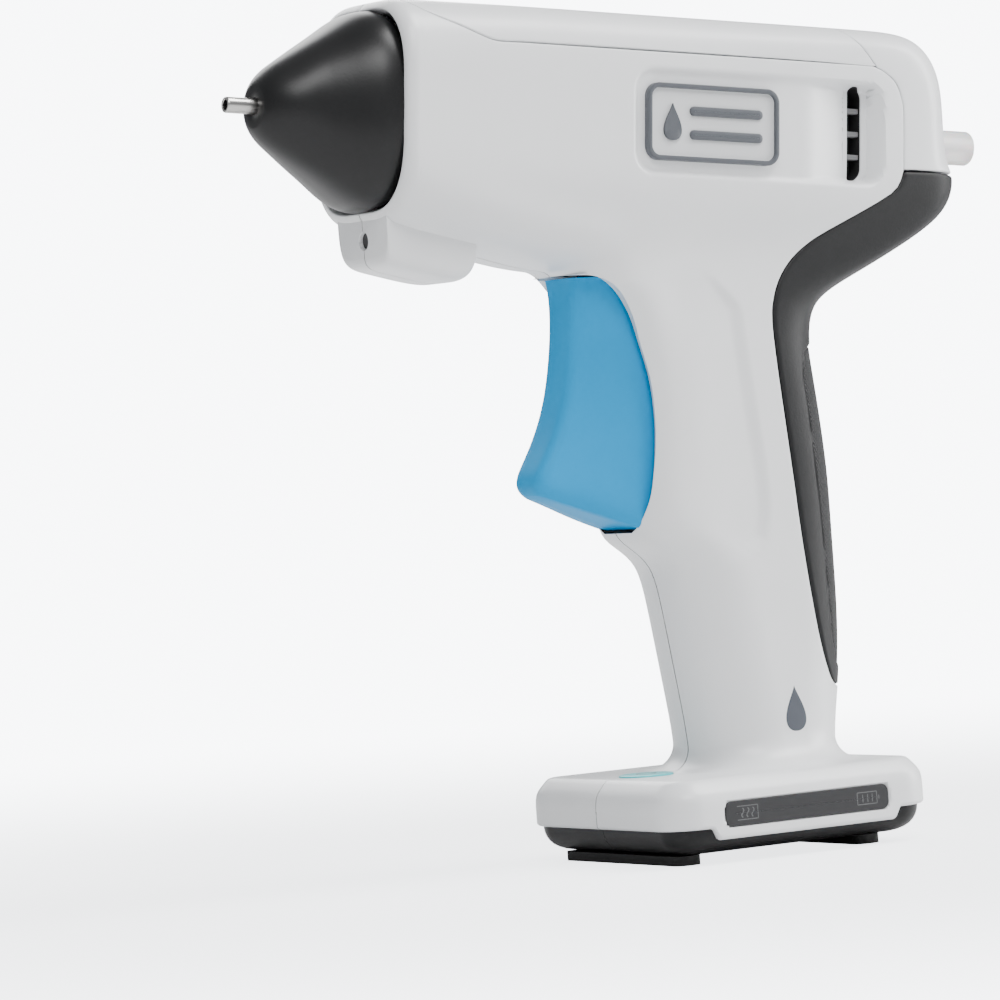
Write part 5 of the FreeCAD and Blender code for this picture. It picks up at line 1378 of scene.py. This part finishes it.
for side, label in ((-1, "Left"), (1, "Right")):
    buildPiece("dropInlay" + label, inlayParts(side), "frame", [finishes["slate"]],
               ("drop_inlay_" + label.lower(),))
print("badges, ribs and inlays made")

# Indicator panel with a heat mark at the front and a cell mark at the rear

panel = {
    "halfLong": 19.55, "halfHigh": 2.5, "corner": 1.6, "face": 28.95, "markLift": 0.012, "waveWidth": 0.26,
    "lineWidth": 0.2, "waves": (-15.6, -14.4, -13.2), "waveSwing": 0.28, "waveHalf": 0.95,
    "lines": (((-16.9, 1.35), (-12.0, 1.35)), ((-16.9, -1.35), (-12.0, -1.35)), ((-12.0, 1.35), (-12.0, -1.35)),
              ((11.9, 1.2), (16.6, 1.2)), ((11.9, -1.2), (16.6, -1.2)), ((11.9, 1.2), (11.9, -1.2)),
              ((16.6, 1.2), (16.6, -1.2)), ((13.2, 0.8), (13.2, -0.8)), ((14.4, 0.8), (14.4, -0.8)),
              ((15.5, 0.8), (15.5, -0.8)), ((17.1, 0.4), (17.1, -0.4))),
}


# A thin raised strip along a plane curve.
def ribbon(points, width, height, out, alongA, alongB, centre):
    path = np.asarray(points, float)
    direction = unit(np.gradient(path, axis=0))
    square = np.stack([-direction[:, 1], direction[:, 0]], 1) * width / 2
    rows = [path - square, path - square * 0.9, path + square * 0.9, path + square]
    lift = (height - 0.15, height, height, height - 0.15)
    grid = np.array([centre + r[:, :1] * alongA + r[:, 1:] * alongB + h * out for r, h in zip(rows, lift)])
    return grid, False, 1, out


def panelParts():
    out = -sideways
    along, high = np.array([1.0, 0, 0]), np.array([0, 0, 1.0])
    centre = np.array([panelCentre[0], 0.0, panelCentre[2]])
    f = panel["face"]
    height = f + panel["markLift"]
    profile = [(0.0, f - 1.3, 0), (0.0, f - 0.15, 0), (0.12, f, 0), (0.8, f, 0), (1.6, f, 0),
               (panel["halfHigh"] - 0.01, f, 0)]
    parts = [platePart(centre, along, high, out, panel["halfLong"], panel["halfHigh"], panel["corner"], profile)]
    t = np.linspace(-1, 1, 26)
    for offset in panel["waves"]:
        wave = np.stack([offset + panel["waveSwing"] * np.sin(t * math.pi), t * panel["waveHalf"]], 1)
        parts.append(ribbon(wave, panel["waveWidth"], height, out, along, high, centre))
    for start, end in np.array(panel["lines"]):
        line = start + (end - start) * np.linspace(0, 1, 6)[:, None]
        parts.append(ribbon(line, panel["lineWidth"], height, out, along, high, centre))
    return parts


buildPiece("indicatorPanel", panelParts(), "frame", [finishes["panel"], finishes["mark"]],
           ("indicator_lens",))

# Button on the base's top, tray

button = {"behind": 55.1, "profile": ((15.6, 5.55), (17.15, 5.55), (17.32, 5.45), (17.40, 5.2), (17.42, 4.7),
                                      (17.43, 0.0)),
          "mark": ((17.42, 2.15), (17.448, 2.05), (17.448, 1.75), (17.42, 1.65))}


def ringsAbout(centre, profile, around=96):
    profile = np.array(profile, float)
    angle = np.linspace(0, 2 * math.pi, around, endpoint=False)
    return np.stack([centre[0] + profile[:, 1:] * np.cos(angle), centre[1] + profile[:, 1:] * np.sin(angle),
                     np.broadcast_to(profile[:, :1], (len(profile), around))], -1)


buttonCentre = np.array([ring[0] + button["behind"], 0.0])
buildPiece("powerButton", [
    (ringsAbout(buttonCentre, button["profile"]), True, 0, lambda c: c - np.array([*buttonCentre, 14.0])),
    (ringsAbout(buttonCentre, button["mark"]), True, 1, (0, 0, 1))],
    "button", [finishes["button"], finishes["slate"]], ("power_button",))
tray = {"profile": ((1.5, 8.6), (1.3, 7.7), (1.32, 6.9), (1.45, 6.1), (1.75, 5.2), (2.3, 4.3), (3.1, 3.5), (4.2, 2.85),
                    (5.6, 2.35), (7.4, 2.02), (9.5, 1.92), (14.0, 1.9), (20.0, 1.9), (28.9, 1.9))}  # inset and height


# Tray that curves in under the base like a hull, closed underneath.
def trayHalf():
    inset, height = np.array(tray["profile"]).T
    x, y = baseOutline(inset)
    z = np.broadcast_to(height[:, None], x.shape)
    return np.stack([x, np.maximum(y, 0.05), z], -1)


for label, grid in (("Left", mirrorY(trayHalf())), ("Right", trayHalf())):
    buildPiece("baseTray" + label, [(grid, False, 0, lambda c: c - np.array([baseCentre, 0, 9.0]))], "frame",
               [finishes["tray"]], ("base_tray_" + label.lower(),))
print("panel, button and tray made")

# Finishes of the CAD pieces that stay

kept = {
    "steel": ("jaw_pin", "clamp_jaw", "trigger_pin", "drive_pin", "charge_port", "lower_contact", "upper_contact"),
    "black": ("button_switch",), "aluminium": ("melt_chamber", "heater_carrier"),
    "insulator": ("front_collar", "rear_collar"), "ceramic": ("heater_plate", "thermal_fuse"),
    "silicone": ("inlet_sleeve",), "panel": ("lamp_lens",), "inner": ("feed_frame", "feed_carriage"),
    "foot": ("front_foot", "rear_foot"), "board": ("control_board", "display_board"), "cellWrap": ("battery_cell",),
    "blackened": ("housing_screws", "tray_screws"),
}
for finish, names in kept.items():
    for name in names:
        node = frame["nodes"][name]
        node.data.materials.clear()
        node.data.materials.append(finishes[finish])
